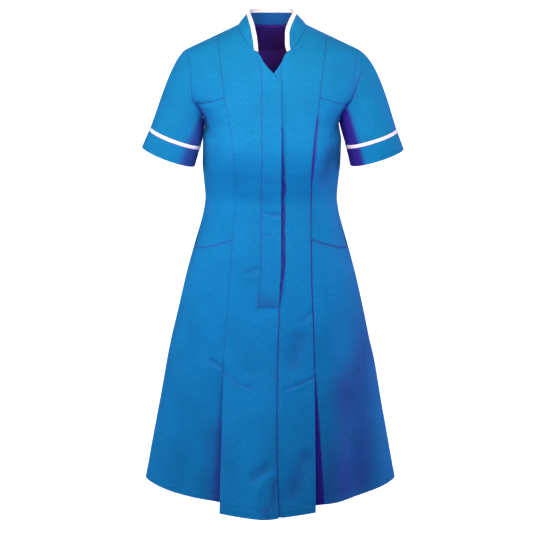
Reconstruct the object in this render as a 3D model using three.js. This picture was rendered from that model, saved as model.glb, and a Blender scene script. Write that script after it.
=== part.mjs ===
// A nurse's uniform dress, standing in the round as it is worn, modelled in millimetres.
// X runs to the wearer's left, -Y is the front, +Z is up. The origin is the middle of the
// shoulders, level with the points where the shoulder seams meet the neck.
// Every piece of cloth is a thin wall: a grid of points on the outside, the same grid moved
// in by the cloth's thickness, and a rim that closes the two.
import * as THREE from "three";

// Driving sizes
const CLOTH = 1.2;
const SEAM_GAP = 0.3;
const NECK_HALF_WIDTH = 74;
const SHOULDER_SLOPE = 0.469;
const SHOULDER_ROUNDING = 110;
const HEM_Z = -1045;
const PLEAT_TOP_Z = -737;
const PLEAT_FOLD_WIDTH = 60;
const PLEAT_TOP_DROP = 26;
const BAND_FOOT_Z = -597;
const BAND_RISE = 1.7;
const BAND_OVERHANG = 6;
const COLLAR_TRIM_WIDTH = 9;
const SLEEVE_TRIM_WIDTH = 8;
const CUFF_DEPTH = 40;

const BLUE = 0x1f84cb;
const WHITE = 0xf4f6f8;

// Cross-sections of the body: half the width, the depth in front of the side seams, the depth
// behind them, and how square the front and back of the oval are (2 is an ellipse).
const SECTIONS = [
  { z: -1045, half: 291, front: 203, back: 190, square: 1.43, backSquare: 1.75 },
  { z: -930, half: 269, front: 183, back: 172, square: 1.58, backSquare: 1.8 },
  { z: -845, half: 252, front: 169, back: 159, square: 1.7, backSquare: 1.86 },
  { z: -737, half: 231, front: 153, back: 144, square: 1.87, backSquare: 1.95 },
  { z: -616, half: 205, front: 137, back: 128, square: 2.05, backSquare: 2.08 },
  { z: -545, half: 188, front: 128, back: 117, square: 2.14, backSquare: 2.14 },
  { z: -486, half: 171.5, front: 120, back: 104, square: 2.2, backSquare: 2.2 },
  { z: -440, half: 158, front: 112, back: 90, square: 2.25, backSquare: 2.25 },
  { z: -413, half: 151, front: 108, back: 82, square: 2.25, backSquare: 2.25 },
  { z: -377, half: 146, front: 106, back: 77, square: 2.25, backSquare: 2.25 },
  { z: -335, half: 149, front: 117, back: 81, square: 2.28, backSquare: 2.28 },
  { z: -295, half: 152, front: 130, back: 89, square: 2.32, backSquare: 2.32 },
  { z: -252, half: 152, front: 136, back: 98, square: 2.35, backSquare: 2.35 },
  { z: -212, half: 147, front: 132, back: 104, square: 2.35, backSquare: 2.35 },
  { z: -190, half: 158, front: 127, back: 106, square: 2.32, backSquare: 2.32 },
  { z: -168, half: 176, front: 121, back: 107, square: 2.3, backSquare: 2.3 },
  { z: -145, half: 189, front: 116, back: 107, square: 2.3, backSquare: 2.3 },
  { z: -100, half: 196, front: 104, back: 104, square: 2.3, backSquare: 2.3 },
  { z: -53, half: 197, front: 92, back: 98, square: 2.3, backSquare: 2.3 },
  { z: 0, half: 197, front: 84, back: 92, square: 2.3, backSquare: 2.3 },
  { z: 40, half: 197, front: 80, back: 84, square: 2.3, backSquare: 2.3 },
];

// Heights of the grid's rows from the hem to the armpits: on the front and back, and at the
// side seam.
const LOWER_ROWS = [
  { z: HEM_Z, side: HEM_Z },
  { z: -990, side: -990 },
  { z: -930, side: -930 },
  { z: -870, side: -870 },
  { z: -810, side: -810 },
  { z: -770, side: -770 },
  { z: PLEAT_TOP_Z, side: PLEAT_TOP_Z },
  { z: -690, side: -690 },
  { z: -640, side: -640 },
  { z: BAND_FOOT_Z, side: BAND_FOOT_Z },
  { z: -545, side: -550 },
  { z: -498, side: -518 },
  { z: -453, side: -488 },
  { z: -432, side: -455 },
  { z: -412, side: -426 },
  { z: -393, side: -399 },
  { z: -375, side: -377 },
  { z: -356, side: -356 },
  { z: -335, side: -335 },
  { z: -313, side: -313 },
  { z: -291, side: -291 },
  { z: -270, side: -270 },
  { z: -250, side: -250 },
  { z: -230, side: -232 },
];
// Above the armpit the rows fan out: height at the centre front edge, at the princess seam,
// at the armhole, at the back under the side of the neck and at the centre back.
const UPPER_ROWS = [
  { centre: -205, princess: -205, side: -212, neck: -205, back: -205 },
  { centre: -180, princess: -176, side: -190, neck: -176, back: -178 },
  { centre: -150, princess: -145, side: -168, neck: -147, back: -150 },
  { centre: -125, princess: -118, side: -145, neck: -119, back: -122 },
  { centre: -107, princess: -94, side: -121, neck: -94, back: -98 },
  { centre: -94, princess: -74, side: -101, neck: -72, back: -76 },
  { centre: -73, princess: -57, side: -86, neck: -53, back: -58 },
  { centre: -52, princess: -45, side: -75, neck: -38, back: -44 },
  { centre: -45, princess: -36, side: -67, neck: -27, back: -33 },
  { centre: -34, princess: -29, side: -61, neck: -18, back: -24 },
  { centre: -22, princess: -24.5, side: -57, neck: -10.5, back: -17 },
  { centre: -13, princess: -22, side: -55, neck: -5, back: -12 },
  { centre: -5, princess: -20.8, side: -53.6, neck: -1.6, back: -8.5 },
  { centre: 0, princess: -20.2, side: -53, neck: 0, back: -6.5 },
];
const ROWS = [
  ...LOWER_ROWS.map(({ z, side }) => ({ centre: z, princess: z, side, neck: z, back: z })),
  ...UPPER_ROWS,
];
const ARMPIT_ROW = LOWER_ROWS.length;
const TOP_ROW = ROWS.length - 1;
const BUST_SEAM_ROW = ARMPIT_ROW + 2;
const POCKET_ROW = 12;
const BAND_FOOT_ROW = 9;
const V_ROW = TOP_ROW - 8;
const BAND_HEAD_ROW = V_ROW + 1;
const COLLAR_END_ROW = V_ROW + 3;

// Where the seams run across the front: X of the overlapping edge, of the placket band's
// stitched side and of the two princess seams, at each height.
const OVER_EDGE = [
  { z: HEM_Z, x: 14 },
  { z: -887, x: 8.6 },
  { z: PLEAT_TOP_Z, x: 9.9 },
  { z: -591, x: 14 },
  { z: -545, x: 13 },
  { z: -107, x: 13 },
];
const UNDER_EDGE = [
  { z: HEM_Z, x: 2 },
  { z: -640, x: 0 },
  { z: -591, x: -10 },
  { z: -545, x: -15 },
  { z: -125, x: -15 },
  { z: -107, x: -9 },
];
const BAND_SIDE = [
  { z: HEM_Z, x: -36 },
  { z: -591, x: -31 },
  { z: -545, x: -27 },
  { z: -453, x: -24.6 },
  { z: -258, x: -22.9 },
  { z: -125, x: -22.5 },
  { z: -94, x: -24 },
  { z: -73, x: -27 },
];
const PRINCESS_RIGHT = [
  { z: HEM_Z, x: -116 },
  { z: -946, x: -113 },
  { z: -834, x: -110 },
  { z: PLEAT_TOP_Z, x: -107 },
  { z: -638, x: -99.5 },
  { z: -553, x: -93 },
  { z: -453, x: -86 },
  { z: -397, x: -81 },
  { z: -343, x: -78 },
  { z: -253, x: -83 },
  { z: -189, x: -93.5 },
  { z: -145, x: -102 },
  { z: -98, x: -107 },
  { z: -59, x: -112 },
  { z: -20, x: -117 },
];
const PRINCESS_LEFT = [
  { z: HEM_Z, x: 96 },
  { z: -834, x: 94 },
  { z: -638, x: 90 },
  { z: -553, x: 86.5 },
  { z: -453, x: 85 },
  { z: -343, x: 84 },
  { z: -263, x: 87 },
  { z: -185, x: 97 },
  { z: -109, x: 105 },
  { z: -69, x: 111 },
  { z: -20, x: 117 },
];
// X of the front neckline on the overlapping and the under front, for each row from the V up
// to the side of the neck.
const NECKLINE = [
  { over: 2.5, under: 2.5 },
  { over: -17, under: 18 },
  { over: -30, under: 29.5 },
  { over: -42, under: 41 },
  { over: -53, under: 52 },
  { over: -62, under: 61 },
  { over: -68, under: 67.5 },
  { over: -72, under: 72 },
  { over: -NECK_HALF_WIDTH, under: NECK_HALF_WIDTH },
];
// Half the width of the body between the armholes, in front and behind.
const ARMHOLE = [
  { z: -212, front: 147, back: 147 },
  { z: -190, front: 154, back: 156 },
  { z: -168, front: 165, back: 168 },
  { z: -145, front: 173, back: 175 },
  { z: -121, front: 175, back: 178 },
  { z: -100, front: 176, back: 179 },
  { z: -78, front: 179, back: 180 },
  { z: -61, front: 184, back: 184 },
  { z: -53, front: 187, back: 187 },
];

// Each sleeve's hem: its middle, half its width across the arm and front to back, how far it
// hangs out from the body, and how full its cap is.
const SLEEVES = {
  right: { side: -1, hemX: 228.6, hemZ: -287.3, halfWidth: 61.8, halfDepth: 58, lean: 20.6, cap: 0.5 },
  left: { side: 1, hemX: 231.3, hemZ: -289, halfWidth: 61.5, halfDepth: 58, lean: 17.5, cap: 0.7 },
};
// The collar's free edge from the front end to the centre back, with its distance from the
// middle on the wearer's right and left.
const COLLAR_EDGE = [
  { right: 30, left: 30.3, y: -84, z: -49.5 },
  { right: 31, left: 27, y: -76, z: -35 },
  { right: 34.5, left: 27, y: -62, z: -12 },
  { right: 41, left: 34.5, y: -42, z: 11 },
  { right: 46, left: 41.5, y: -22, z: 23 },
  { right: 49, left: 46, y: -2, z: 30 },
  { right: 46.5, left: 44.5, y: 25, z: 31 },
  { right: 37, left: 36, y: 48, z: 31 },
  { right: 20, left: 20, y: 63, z: 30.5 },
  { right: 0, left: 0, y: 68, z: 30 },
];

const clamp = (v, low, high) => Math.min(high, Math.max(low, v));
const mix = (a, b, t) => a + (b - a) * t;
const radians = (degrees) => (degrees * Math.PI) / 180;
// 0 at a, 1 at b, smooth at both ends.
function ramp(a, b, v) {
  const t = clamp((v - a) / (b - a), 0, 1);
  return t * t * (3 - 2 * t);
}

// A table's column as a smooth function of z that never overshoots its rows.
function smoothColumn(table, column) {
  const rows = [...table].sort((a, b) => a.z - b.z);
  const slope = rows.slice(1).map((row, i) => (row[column] - rows[i][column]) / (row.z - rows[i].z));
  const tangent = rows.map((_, i) => {
    const before = slope[Math.max(0, i - 1)];
    const after = slope[Math.min(slope.length - 1, i)];
    return before * after > 0 ? (2 * before * after) / (before + after) : 0;
  });
  return (z) => {
    const at = clamp(z, rows[0].z, rows.at(-1).z);
    let i = 0;
    while (i < rows.length - 2 && at > rows[i + 1].z) i += 1;
    const step = rows[i + 1].z - rows[i].z;
    const t = (at - rows[i].z) / step;
    const [a, b] = [rows[i][column], rows[i + 1][column]];
    return (
      a * (1 + 2 * t) * (1 - t) ** 2 +
      b * t * t * (3 - 2 * t) +
      step * tangent[i] * t * (1 - t) ** 2 +
      step * tangent[i + 1] * t * t * (t - 1)
    );
  };
}

const sectionHalf = smoothColumn(SECTIONS, "half");
const sectionSquare = {
  front: smoothColumn(SECTIONS, "square"),
  back: smoothColumn(SECTIONS, "backSquare"),
};
const sectionDepth = {
  front: smoothColumn(SECTIONS, "front"),
  back: smoothColumn(SECTIONS, "back"),
};
const armhole = {
  front: smoothColumn(ARMHOLE, "front"),
  back: smoothColumn(ARMHOLE, "back"),
};
// The body below the armpits hangs a little to the wearer's right. The seams' tables give them
// where they lie, so the sway comes off before a point is found and goes back on after.
const SWAY = { chestZ: -235, waistZ: -340, atWaist: -2, hipZ: -400, moreAtHem: -1.7 };
function sway(z) {
  const belowHip = clamp((SWAY.hipZ - z) / (SWAY.hipZ - HEM_Z), 0, 1);
  return SWAY.atWaist * ramp(SWAY.chestZ, SWAY.waistZ, z) + SWAY.moreAtHem * belowHip;
}
function seamAcross(table) {
  const column = smoothColumn(table, "x");
  return (z) => column(z) - sway(z);
}
const overEdge = seamAcross(OVER_EDGE);
const underEdge = seamAcross(UNDER_EDGE);
const bandSide = seamAcross(BAND_SIDE);
const princess = { right: seamAcross(PRINCESS_RIGHT), left: seamAcross(PRINCESS_LEFT) };
const shoulderZ = (x) => -SHOULDER_SLOPE * (Math.abs(x) - NECK_HALF_WIDTH);
const shoulderNearness = (x, z) =>
  clamp((z - shoulderZ(x) + SHOULDER_ROUNDING) / SHOULDER_ROUNDING, 0, 1);

// A point of the body's oval section, by its angle from the centre front or centre back.
function ovalPoint(face, angle, z) {
  const [sine, cosine] = [Math.sin(angle), Math.cos(angle)];
  const power = sectionSquare[face](z);
  const reach =
    ((Math.abs(sine) / sectionHalf(z)) ** power + (Math.abs(cosine) / sectionDepth[face](z)) ** power) **
    (-1 / power);
  const x = reach * sine;
  const rounding = Math.sqrt(1 - shoulderNearness(x, z) ** 2);
  const outward = face === "front" ? -1 : 1;
  return new THREE.Vector3(x, outward * reach * cosine * rounding, z);
}

// The angle at which the section reaches a given x, found by halving.
const HALVINGS = 40;
function angleAt(face, x, z) {
  let [low, high] = [0, Math.PI / 2];
  for (let i = 0; i < HALVINGS; i += 1) {
    const middle = (low + high) / 2;
    if (ovalPoint(face, middle, z).x < Math.abs(x)) low = middle;
    else high = middle;
  }
  return Math.sign(x) * high;
}

// The direction out of the cloth, square to its slopes over a small step. It turns straight up
// along the shoulder seam.
const TURN_UP = { from: 0.7, to: 0.97 };
function outwardAt(face, angle, z) {
  const across = ovalPoint(face, angle + 0.01, z).sub(ovalPoint(face, angle - 0.01, z));
  const upward = ovalPoint(face, angle, z + 1).sub(ovalPoint(face, angle, z - 1));
  const normal = across.cross(upward).normalize();
  if (face === "back") normal.negate();
  const { x } = ovalPoint(face, angle, z);
  const seam = new THREE.Vector3(Math.sign(x) * SHOULDER_SLOPE, 0, 1).normalize();
  return normal.lerp(seam, ramp(TURN_UP.from, TURN_UP.to, shoulderNearness(x, z))).normalize();
}

// Bust lobes over the princess seams, on both fronts.
const BUST = { lift: 9, x: 88, z: -258, halfWidth: 48, halfHeight: 60 };
function bust(x, z) {
  const across = (Math.abs(x) - BUST.x) / BUST.halfWidth;
  const up = (z - BUST.z) / BUST.halfHeight;
  return BUST.lift * Math.exp(-(across ** 2) - up ** 2);
}
const pleatOpening = (z) => clamp((PLEAT_TOP_Z - z) / (PLEAT_TOP_Z - HEM_Z), 0, 1);

// How far the centre front stands out over its pleats, farther on the side of its soft ridge.
// The cloth starts to part above the tops of the pleats.
const PARTING = { z: -640, lift: 3 };
const PROUD = { right: 43, left: 31, rightX: -30, leftX: 40 };
const partingLift = (z) => PARTING.lift * ramp(PARTING.z, PLEAT_TOP_Z, z);
function centreLift(x, z) {
  if (z > PLEAT_TOP_Z) return bust(x, z) + partingLift(z);
  const atHem = mix(PROUD.right, PROUD.left, ramp(PROUD.rightX, PROUD.leftX, x));
  return PARTING.lift + pleatOpening(z) * atHem;
}

// How far the side fronts tuck in beside the pleats, and swell out farther round.
const BESIDE_PLEAT = {
  right: { tuck: 12, reach: 60, swell: 0 },
  left: { tuck: 4, reach: 45, swell: 9 },
};
const SWELL = { away: 50, reach: 45 };
function sideLift(side, x, z) {
  const { tuck, reach, swell } = BESIDE_PLEAT[side];
  const open = pleatOpening(z);
  const away = Math.abs(x - princess[side](z));
  const rising = swell * open * Math.exp(-(((away - SWELL.away) / SWELL.reach) ** 2));
  const falling = (partingLift(z) + tuck * open) * Math.exp(-((away / reach) ** 2));
  return bust(x, z) + rising - falling;
}

// How far the under front sinks below the overlapping front, deepest along the bodice.
const underlapDepth = smoothColumn(
  [
    { z: HEM_Z, sink: 5 },
    { z: PLEAT_TOP_Z, sink: 3 },
    { z: -640, sink: 2.4 },
    { z: -560, sink: 6 },
    { z: -400, sink: 9 },
    { z: -250, sink: 8 },
    { z: -150, sink: 3.4 },
    { z: -90, sink: 2.4 },
  ],
  "sink",
);
// The sunk part ends beside the overlapping edge, and along the bodice beside the band's edge.
const UNDERLAP = { bandFrom: -620, bandTo: -560, neckFrom: -100, neckTo: -130, slope: 12 };
function underlapSink(x, z) {
  const bodice =
    ramp(UNDERLAP.bandFrom, UNDERLAP.bandTo, z) * ramp(UNDERLAP.neckFrom, UNDERLAP.neckTo, z);
  const edge = overEdge(z) + (BAND_OVERHANG + 1) * bodice;
  return -underlapDepth(z) * ramp(edge + UNDERLAP.slope, edge, x);
}

// A point of the cloth: on the body's section at x and z, moved forward and then out. A point
// close to the shoulder seam lies on it, and fronts and back keep apart at the side seam.
const SEAM_SNAP = 0.3;
const SIDE_SEAM_Y = 0.2;
function clothPoint(face, x, height, forward, out = 0) {
  const z = Math.abs(height - shoulderZ(x)) < SEAM_SNAP ? shoulderZ(x) : height;
  const angle = angleAt(face, x, z);
  const point = ovalPoint(face, angle, z);
  const normal = outwardAt(face, angle, z);
  point.x += sway(z);
  point.y -= forward;
  point.addScaledVector(normal, out);
  point.y = face === "front" ? Math.min(point.y, -SIDE_SEAM_Y) : Math.max(point.y, SIDE_SEAM_Y);
  return { point, normal };
}

// One row of a panel, through its stations (x, z), with a few columns between each pair. Low
// on the body the columns share out the angle, and at the shoulders they share out x.
const byWidth = (z) => ramp(-215, -150, z);
function panelRow(face, stations, columns, forward, out = () => 0) {
  const row = [];
  stations.slice(1).forEach((next, i) => {
    const last = stations[i];
    const [from, to] = [angleAt(face, last.x, last.z), angleAt(face, next.x, next.z)];
    for (let k = i ? 1 : 0; k <= columns[i]; k += 1) {
      const t = k / columns[i];
      const z = mix(last.z, next.z, t);
      const byAngle = ovalPoint(face, mix(from, to, t), z).x;
      const x = mix(byAngle, mix(last.x, next.x, t), byWidth(z));
      row.push(clothPoint(face, x, z, forward(x, z), out(x, z)));
    }
  });
  return row;
}

// A closed wall from rows of { point, normal }. A ring's rows close on themselves.
function wall(rows, { thickness = CLOTH, ring = false } = {}) {
  const across = rows[0].length;
  const positions = [];
  for (const inside of [0, 1])
    for (const row of rows)
      for (const { point, normal } of row)
        positions.push(...point.clone().addScaledVector(normal, -thickness * inside).toArray());
  const layer = rows.length * across;
  const at = (i, j, inside) => inside * layer + i * across + (j % across);
  const faces = [];
  const quad = (a, b, c, d) => faces.push(a, b, c, a, c, d);
  const lastColumn = ring ? across : across - 1;
  for (let i = 0; i < rows.length - 1; i += 1)
    for (let j = 0; j < lastColumn; j += 1) {
      quad(at(i, j, 0), at(i, j + 1, 0), at(i + 1, j + 1, 0), at(i + 1, j, 0));
      quad(at(i, j, 1), at(i + 1, j, 1), at(i + 1, j + 1, 1), at(i, j + 1, 1));
    }
  const top = rows.length - 1;
  const end = across - 1;
  for (let j = 0; j < lastColumn; j += 1) {
    quad(at(0, j, 0), at(0, j, 1), at(0, j + 1, 1), at(0, j + 1, 0));
    quad(at(top, j, 0), at(top, j + 1, 0), at(top, j + 1, 1), at(top, j, 1));
  }
  if (!ring)
    for (let i = 0; i < top; i += 1) {
      quad(at(i, 0, 0), at(i + 1, 0, 0), at(i + 1, 0, 1), at(i, 0, 1));
      quad(at(i, end, 0), at(i, end, 1), at(i + 1, end, 1), at(i + 1, end, 0));
    }
  return closedGeometry(positions, faces);
}

// The geometry, turned so that its faces point out.
function closedGeometry(positions, faces) {
  const corner = (i) => new THREE.Vector3().fromArray(positions, 3 * i);
  let volume = 0;
  for (let i = 0; i < faces.length; i += 3)
    volume += corner(faces[i]).dot(corner(faces[i + 1]).cross(corner(faces[i + 2])));
  if (volume < 0) faces.reverse();
  const geometry = new THREE.BufferGeometry();
  geometry.setAttribute("position", new THREE.Float32BufferAttribute(positions, 3));
  geometry.setIndex(faces);
  geometry.computeVertexNormals();
  return geometry;
}

const dress = new THREE.Group();
const cloth = new THREE.MeshStandardMaterial({ color: BLUE, roughness: 0.82, metalness: 0 });
const braid = new THREE.MeshStandardMaterial({ color: WHITE, roughness: 0.75, metalness: 0 });
function add(name, geometry, material = cloth) {
  const mesh = new THREE.Mesh(geometry, material);
  mesh.name = name;
  dress.add(mesh);
}

const HALF_GAP = SEAM_GAP / 2;
const sideX = (face, i) => {
  const { side } = ROWS[i];
  return i <= ARMPIT_ROW ? sectionHalf(side) : armhole[face](side) - HALF_GAP;
};

// The centre fronts. The wearer's right one laps over the left one, so its row has a station
// where the placket band's stitching runs, and above the band one just beside the neckline.
const BESIDE_NECKLINE = 4;
const overX = (i) => (i >= V_ROW ? NECKLINE[i - V_ROW].over : overEdge(ROWS[i].centre));
const underX = (i) => (i >= V_ROW ? NECKLINE[i - V_ROW].under : underEdge(ROWS[i].centre));
const bandX = (i) => (i > BAND_HEAD_ROW ? overX(i) - BESIDE_NECKLINE : bandSide(ROWS[i].centre));
function centreFrontRow(side, i) {
  const { centre, princess: seamZ } = ROWS[i];
  const seamX = princess[side](seamZ);
  if (side === "left")
    return panelRow(
      "front",
      [
        { x: underX(i), z: centre },
        { x: seamX - HALF_GAP, z: seamZ },
      ],
      [7],
      (x, z) => centreLift(x, z) + underlapSink(x, z),
    );
  const band = bandX(i);
  const bandZ = mix(centre, seamZ, (overX(i) - band) / (overX(i) - seamX));
  return panelRow(
    "front",
    [
      { x: overX(i), z: centre },
      { x: band, z: bandZ },
      { x: seamX + HALF_GAP, z: seamZ },
    ],
    [2, 4],
    centreLift,
  );
}
const allRows = ROWS.map((_, i) => i);
const centreRows = {
  right: allRows.map((i) => centreFrontRow("right", i)),
  left: allRows.map((i) => centreFrontRow("left", i)),
};
add("front_centre_right", wall(centreRows.right));
add("front_centre_left", wall(centreRows.left));

// The placket band lies on the right centre front, made from its points moved out, and its
// free edge hangs past it, less towards its foot.
const BAND_EDGE = { lift: 0.6, atFoot: 1, fullZ: -500 };
const BAND_HEAD_SHARE = 0.6;
function bandRow(i, t = 0) {
  const near = centreRows.right[i].slice(0, 3);
  const next = centreRows.right[Math.min(i + 1, TOP_ROW)].slice(0, 3);
  const moved = near.map(({ point, normal }, k) => ({
    point: point.clone().lerp(next[k].point, t).addScaledVector(normal, BAND_RISE),
    normal,
  }));
  const full = ramp(BAND_FOOT_Z, BAND_EDGE.fullZ, near[0].point.z);
  const lying = i >= V_ROW - 1 ? HALF_GAP : mix(BAND_EDGE.atFoot, BAND_OVERHANG, full);
  const outward = near[0].point.clone().sub(near[1].point).normalize();
  const edge = {
    point: moved[0].point
      .clone()
      .addScaledVector(outward, lying)
      .addScaledVector(near[0].normal, BAND_EDGE.lift),
    normal: near[0].normal,
  };
  return [edge, ...moved];
}
const bandRows = [];
for (let i = BAND_FOOT_ROW; i <= BAND_HEAD_ROW; i += 1) bandRows.push(bandRow(i));
bandRows.push(bandRow(BAND_HEAD_ROW, BAND_HEAD_SHARE));
add("placket_band", wall(bandRows, { thickness: BAND_RISE - SEAM_GAP }));

// The side fronts, each in three pieces: one above the bust seam, one from there to the pocket
// and the skirt. The middle piece dips behind the skirt at the pocket mouth and runs on down
// inside as the back of the pocket.
const POCKET_BAG = { firstRow: 8, inset: 12, sideInset: 26, behind: 3.2, dipOver: 60 };
function sideFrontRow(side, i, part, raised = 0) {
  const sign = side === "right" ? -1 : 1;
  const bag = part === "upper" && i < POCKET_ROW;
  const inset = bag ? POCKET_BAG.inset : HALF_GAP;
  const seamX = princess[side](ROWS[i].princess) + sign * inset;
  const outerX = sign * (sideX("front", i) - (bag ? POCKET_BAG.sideInset : 0));
  const dip = (x, z) =>
    part === "upper" ? -POCKET_BAG.behind * ramp(POCKET_BAG.dipOver, 0, z - mouthZ(side, x)) : 0;
  return panelRow(
    "front",
    [
      { x: seamX, z: ROWS[i].princess + raised },
      { x: outerX, z: ROWS[i].side + raised },
    ],
    [6],
    (x, z) => sideLift(side, x, z),
    dip,
  );
}
function mouthZ(side, x) {
  const { princess: inner, side: outer } = ROWS[POCKET_ROW];
  const [from, to] = [Math.abs(princess[side](inner)), sectionHalf(outer)];
  return mix(inner, outer, clamp((Math.abs(x) - from) / (to - from), 0, 1));
}
const sideRows = {};
for (const side of ["right", "left"]) {
  const rows = (first, last, part) =>
    allRows.slice(first, last + 1).map((i) => sideFrontRow(side, i, part));
  const seamRow = (raised) => [sideFrontRow(side, BUST_SEAM_ROW, "upper", raised)];
  sideRows[side] = rows(ARMPIT_ROW, TOP_ROW, "upper");
  const yokeRows = [...seamRow(HALF_GAP), ...rows(BUST_SEAM_ROW + 1, TOP_ROW, "upper")];
  add(`side_yoke_${side}`, wall(yokeRows));
  const middleRows = [...rows(POCKET_BAG.firstRow, BUST_SEAM_ROW - 1, "upper"), ...seamRow(-HALF_GAP)];
  add(`side_front_${side}`, wall(middleRows));
  add(`side_skirt_${side}`, wall(rows(0, POCKET_ROW, "lower")));
}

// The back is one panel from side seam to side seam. Its rows have stations at the centre back,
// under the side of the neck and at the side seam.
const BACK_COLUMNS = [3, 5];
const NECK_ANGLE = radians(38);
const AT_CENTRE = 0.001;
function backRow(i) {
  const { side, neck, back } = ROWS[i];
  const neckX = mix(ovalPoint("back", NECK_ANGLE, neck).x, NECK_HALF_WIDTH, byWidth(neck));
  const half = (sign) =>
    panelRow(
      "back",
      [
        { x: sign * AT_CENTRE, z: back },
        { x: sign * neckX, z: neck },
        { x: sign * sideX("back", i), z: side },
      ],
      BACK_COLUMNS,
      () => 0,
    );
  return [...half(-1).reverse(), ...half(1).slice(1)];
}
const backRows = allRows.map(backRow);
add("back", wall(backRows));

// The pleats. Each underlay starts behind the centre front's edge, runs in to a fold and
// comes back out to the edge of the side skirt.
const UNDERLAY = {
  thickness: 1,
  clearance: 0.6,
  foldHeight: 4.5,
  foldRound: 2.5,
  belowTop: 6,
  aboveHem: 1,
  sharesIn: [0.02, 0.35, 0.7, 1],
  sharesOut: [1, 0.66, 0.33, 0.005],
  rowShares: [0, 0.18, 0.36, 0.54, 0.7, 0.85, 1],
};
function pleatSection(side, z) {
  const sign = side === "right" ? 1 : -1;
  const seamX = princess[side](z);
  const under = (x) => centreLift(x, z) - CLOTH - UNDERLAY.clearance;
  const inner = seamX + sign * PLEAT_FOLD_WIDTH;
  const outer = sideLift(side, seamX, z);
  const foldTop = under(inner);
  const section = UNDERLAY.sharesIn.map((t) => {
    const x = mix(seamX, inner, t);
    return { x, rise: under(x) };
  });
  section.push({ x: inner + sign * UNDERLAY.foldRound, rise: foldTop - UNDERLAY.foldHeight / 2 });
  for (const t of UNDERLAY.sharesOut)
    section.push({ x: mix(seamX, inner, t), rise: mix(outer, foldTop - UNDERLAY.foldHeight, t) });
  return section;
}
// One row of an underlay. Its top slants down towards the fold. Its normals are square to the
// section, in the plane of x and rise.
function pleatRow(side, share) {
  const sign = side === "right" ? 1 : -1;
  const seamX = princess[side](PLEAT_TOP_Z);
  return pleatSection(side, PLEAT_TOP_Z).map((atTop, k) => {
    const inward = Math.abs(atTop.x - seamX) / PLEAT_FOLD_WIDTH;
    const topZ = PLEAT_TOP_Z - UNDERLAY.belowTop - PLEAT_TOP_DROP * inward;
    const z = mix(HEM_Z + UNDERLAY.aboveHem, topZ, share);
    const section = pleatSection(side, z);
    const before = section[Math.max(0, k - 1)];
    const after = section[Math.min(section.length - 1, k + 1)];
    const length = Math.hypot(after.x - before.x, after.rise - before.rise);
    const turned = { x: -(after.rise - before.rise) / length, rise: (after.x - before.x) / length };
    const here = clothPoint("front", section[k].x, z, section[k].rise);
    const beneath = clothPoint(
      "front",
      section[k].x - sign * turned.x,
      z,
      section[k].rise - sign * turned.rise,
    );
    return { point: here.point, normal: here.point.clone().sub(beneath.point).normalize() };
  });
}
for (const side of ["right", "left"]) {
  const rows = UNDERLAY.rowShares.map((share) => pleatRow(side, share));
  add(`pleat_underlay_${side}`, wall(rows, { thickness: UNDERLAY.thickness }));
}

// The sleeves. The first ring follows the armhole, and the rings run down the arm to the
// white trim and the cuff. Low in the armhole the seam folds the sleeve round, by these degrees
// at the first rows from the armpit up.
const ARMHOLE_FOLD = [175, 80, 30];
const CLEAR_OF_SEAM = SEAM_GAP + HALF_GAP;
function armholeLoop(side) {
  const sign = side === "right" ? -1 : 1;
  const station = (row, last, before, i) => {
    const edge = row.at(last);
    const along = edge.point.clone().sub(row.at(before).point).normalize();
    const angle = radians(ARMHOLE_FOLD[i] ?? 0);
    const [cosine, sine] = [Math.cos(angle), Math.sin(angle)];
    const leave = along.clone().multiplyScalar(cosine).addScaledVector(edge.normal, sine);
    const normal = edge.normal.clone().multiplyScalar(cosine).addScaledVector(along, -sine);
    const point = edge.point
      .clone()
      .addScaledVector(along, CLEAR_OF_SEAM)
      .addScaledVector(edge.normal, angle > 0 ? CLEAR_OF_SEAM : 0);
    return { point, normal, leave, height: i };
  };
  const front = sideRows[side].map((row, i) => station(row, -1, -2, i)).reverse();
  const last = sign > 0 ? -1 : 0;
  const before = sign > 0 ? -2 : 1;
  const back = backRows.slice(ARMPIT_ROW).map((row, i) => station(row, last, before, i));
  return [...front.slice(0, -1), underarm(front.at(-1), sign), ...back.slice(1, -1)];
}
// At the bottom of the armhole the sleeve turns straight down beside the side seam.
const UNDERARM = { beside: 0.5, slope: 0.05 };
function underarm(station, sign) {
  const { side: z } = ROWS[ARMPIT_ROW];
  const x = sign * (sectionHalf(z) + UNDERARM.beside);
  return {
    point: new THREE.Vector3(x, 0, z + UNDERARM.beside),
    normal: new THREE.Vector3(-sign, 0, 0),
    leave: new THREE.Vector3(UNDERARM.slope * sign, 0, -1).normalize(),
    height: station.height,
  };
}
function downSleeve({ side, lean }) {
  const angle = radians(lean);
  return new THREE.Vector3(side * Math.sin(angle), 0, -Math.cos(angle));
}
// A ring round the sleeve. The sleeve narrows upwards, by this share for each millimetre.
const NARROWING = 0.0011;
function sleeveRing(pose, loop, fromHem, share) {
  const lean = radians(pose.lean);
  const across = new THREE.Vector3(pose.side * Math.cos(lean), 0, Math.sin(lean));
  const hem = new THREE.Vector3(pose.side * pose.hemX, 0, pose.hemZ);
  const middle = hem.addScaledVector(downSleeve(pose), -fromHem);
  const narrowing = 1 - NARROWING * fromHem;
  return loop.map((_, k) => {
    const turn = 2 * Math.PI * share[k];
    return middle
      .clone()
      .addScaledVector(across, pose.halfWidth * narrowing * Math.cos(turn))
      .add(new THREE.Vector3(0, -pose.halfDepth * narrowing * Math.sin(turn), 0));
  });
}
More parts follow.
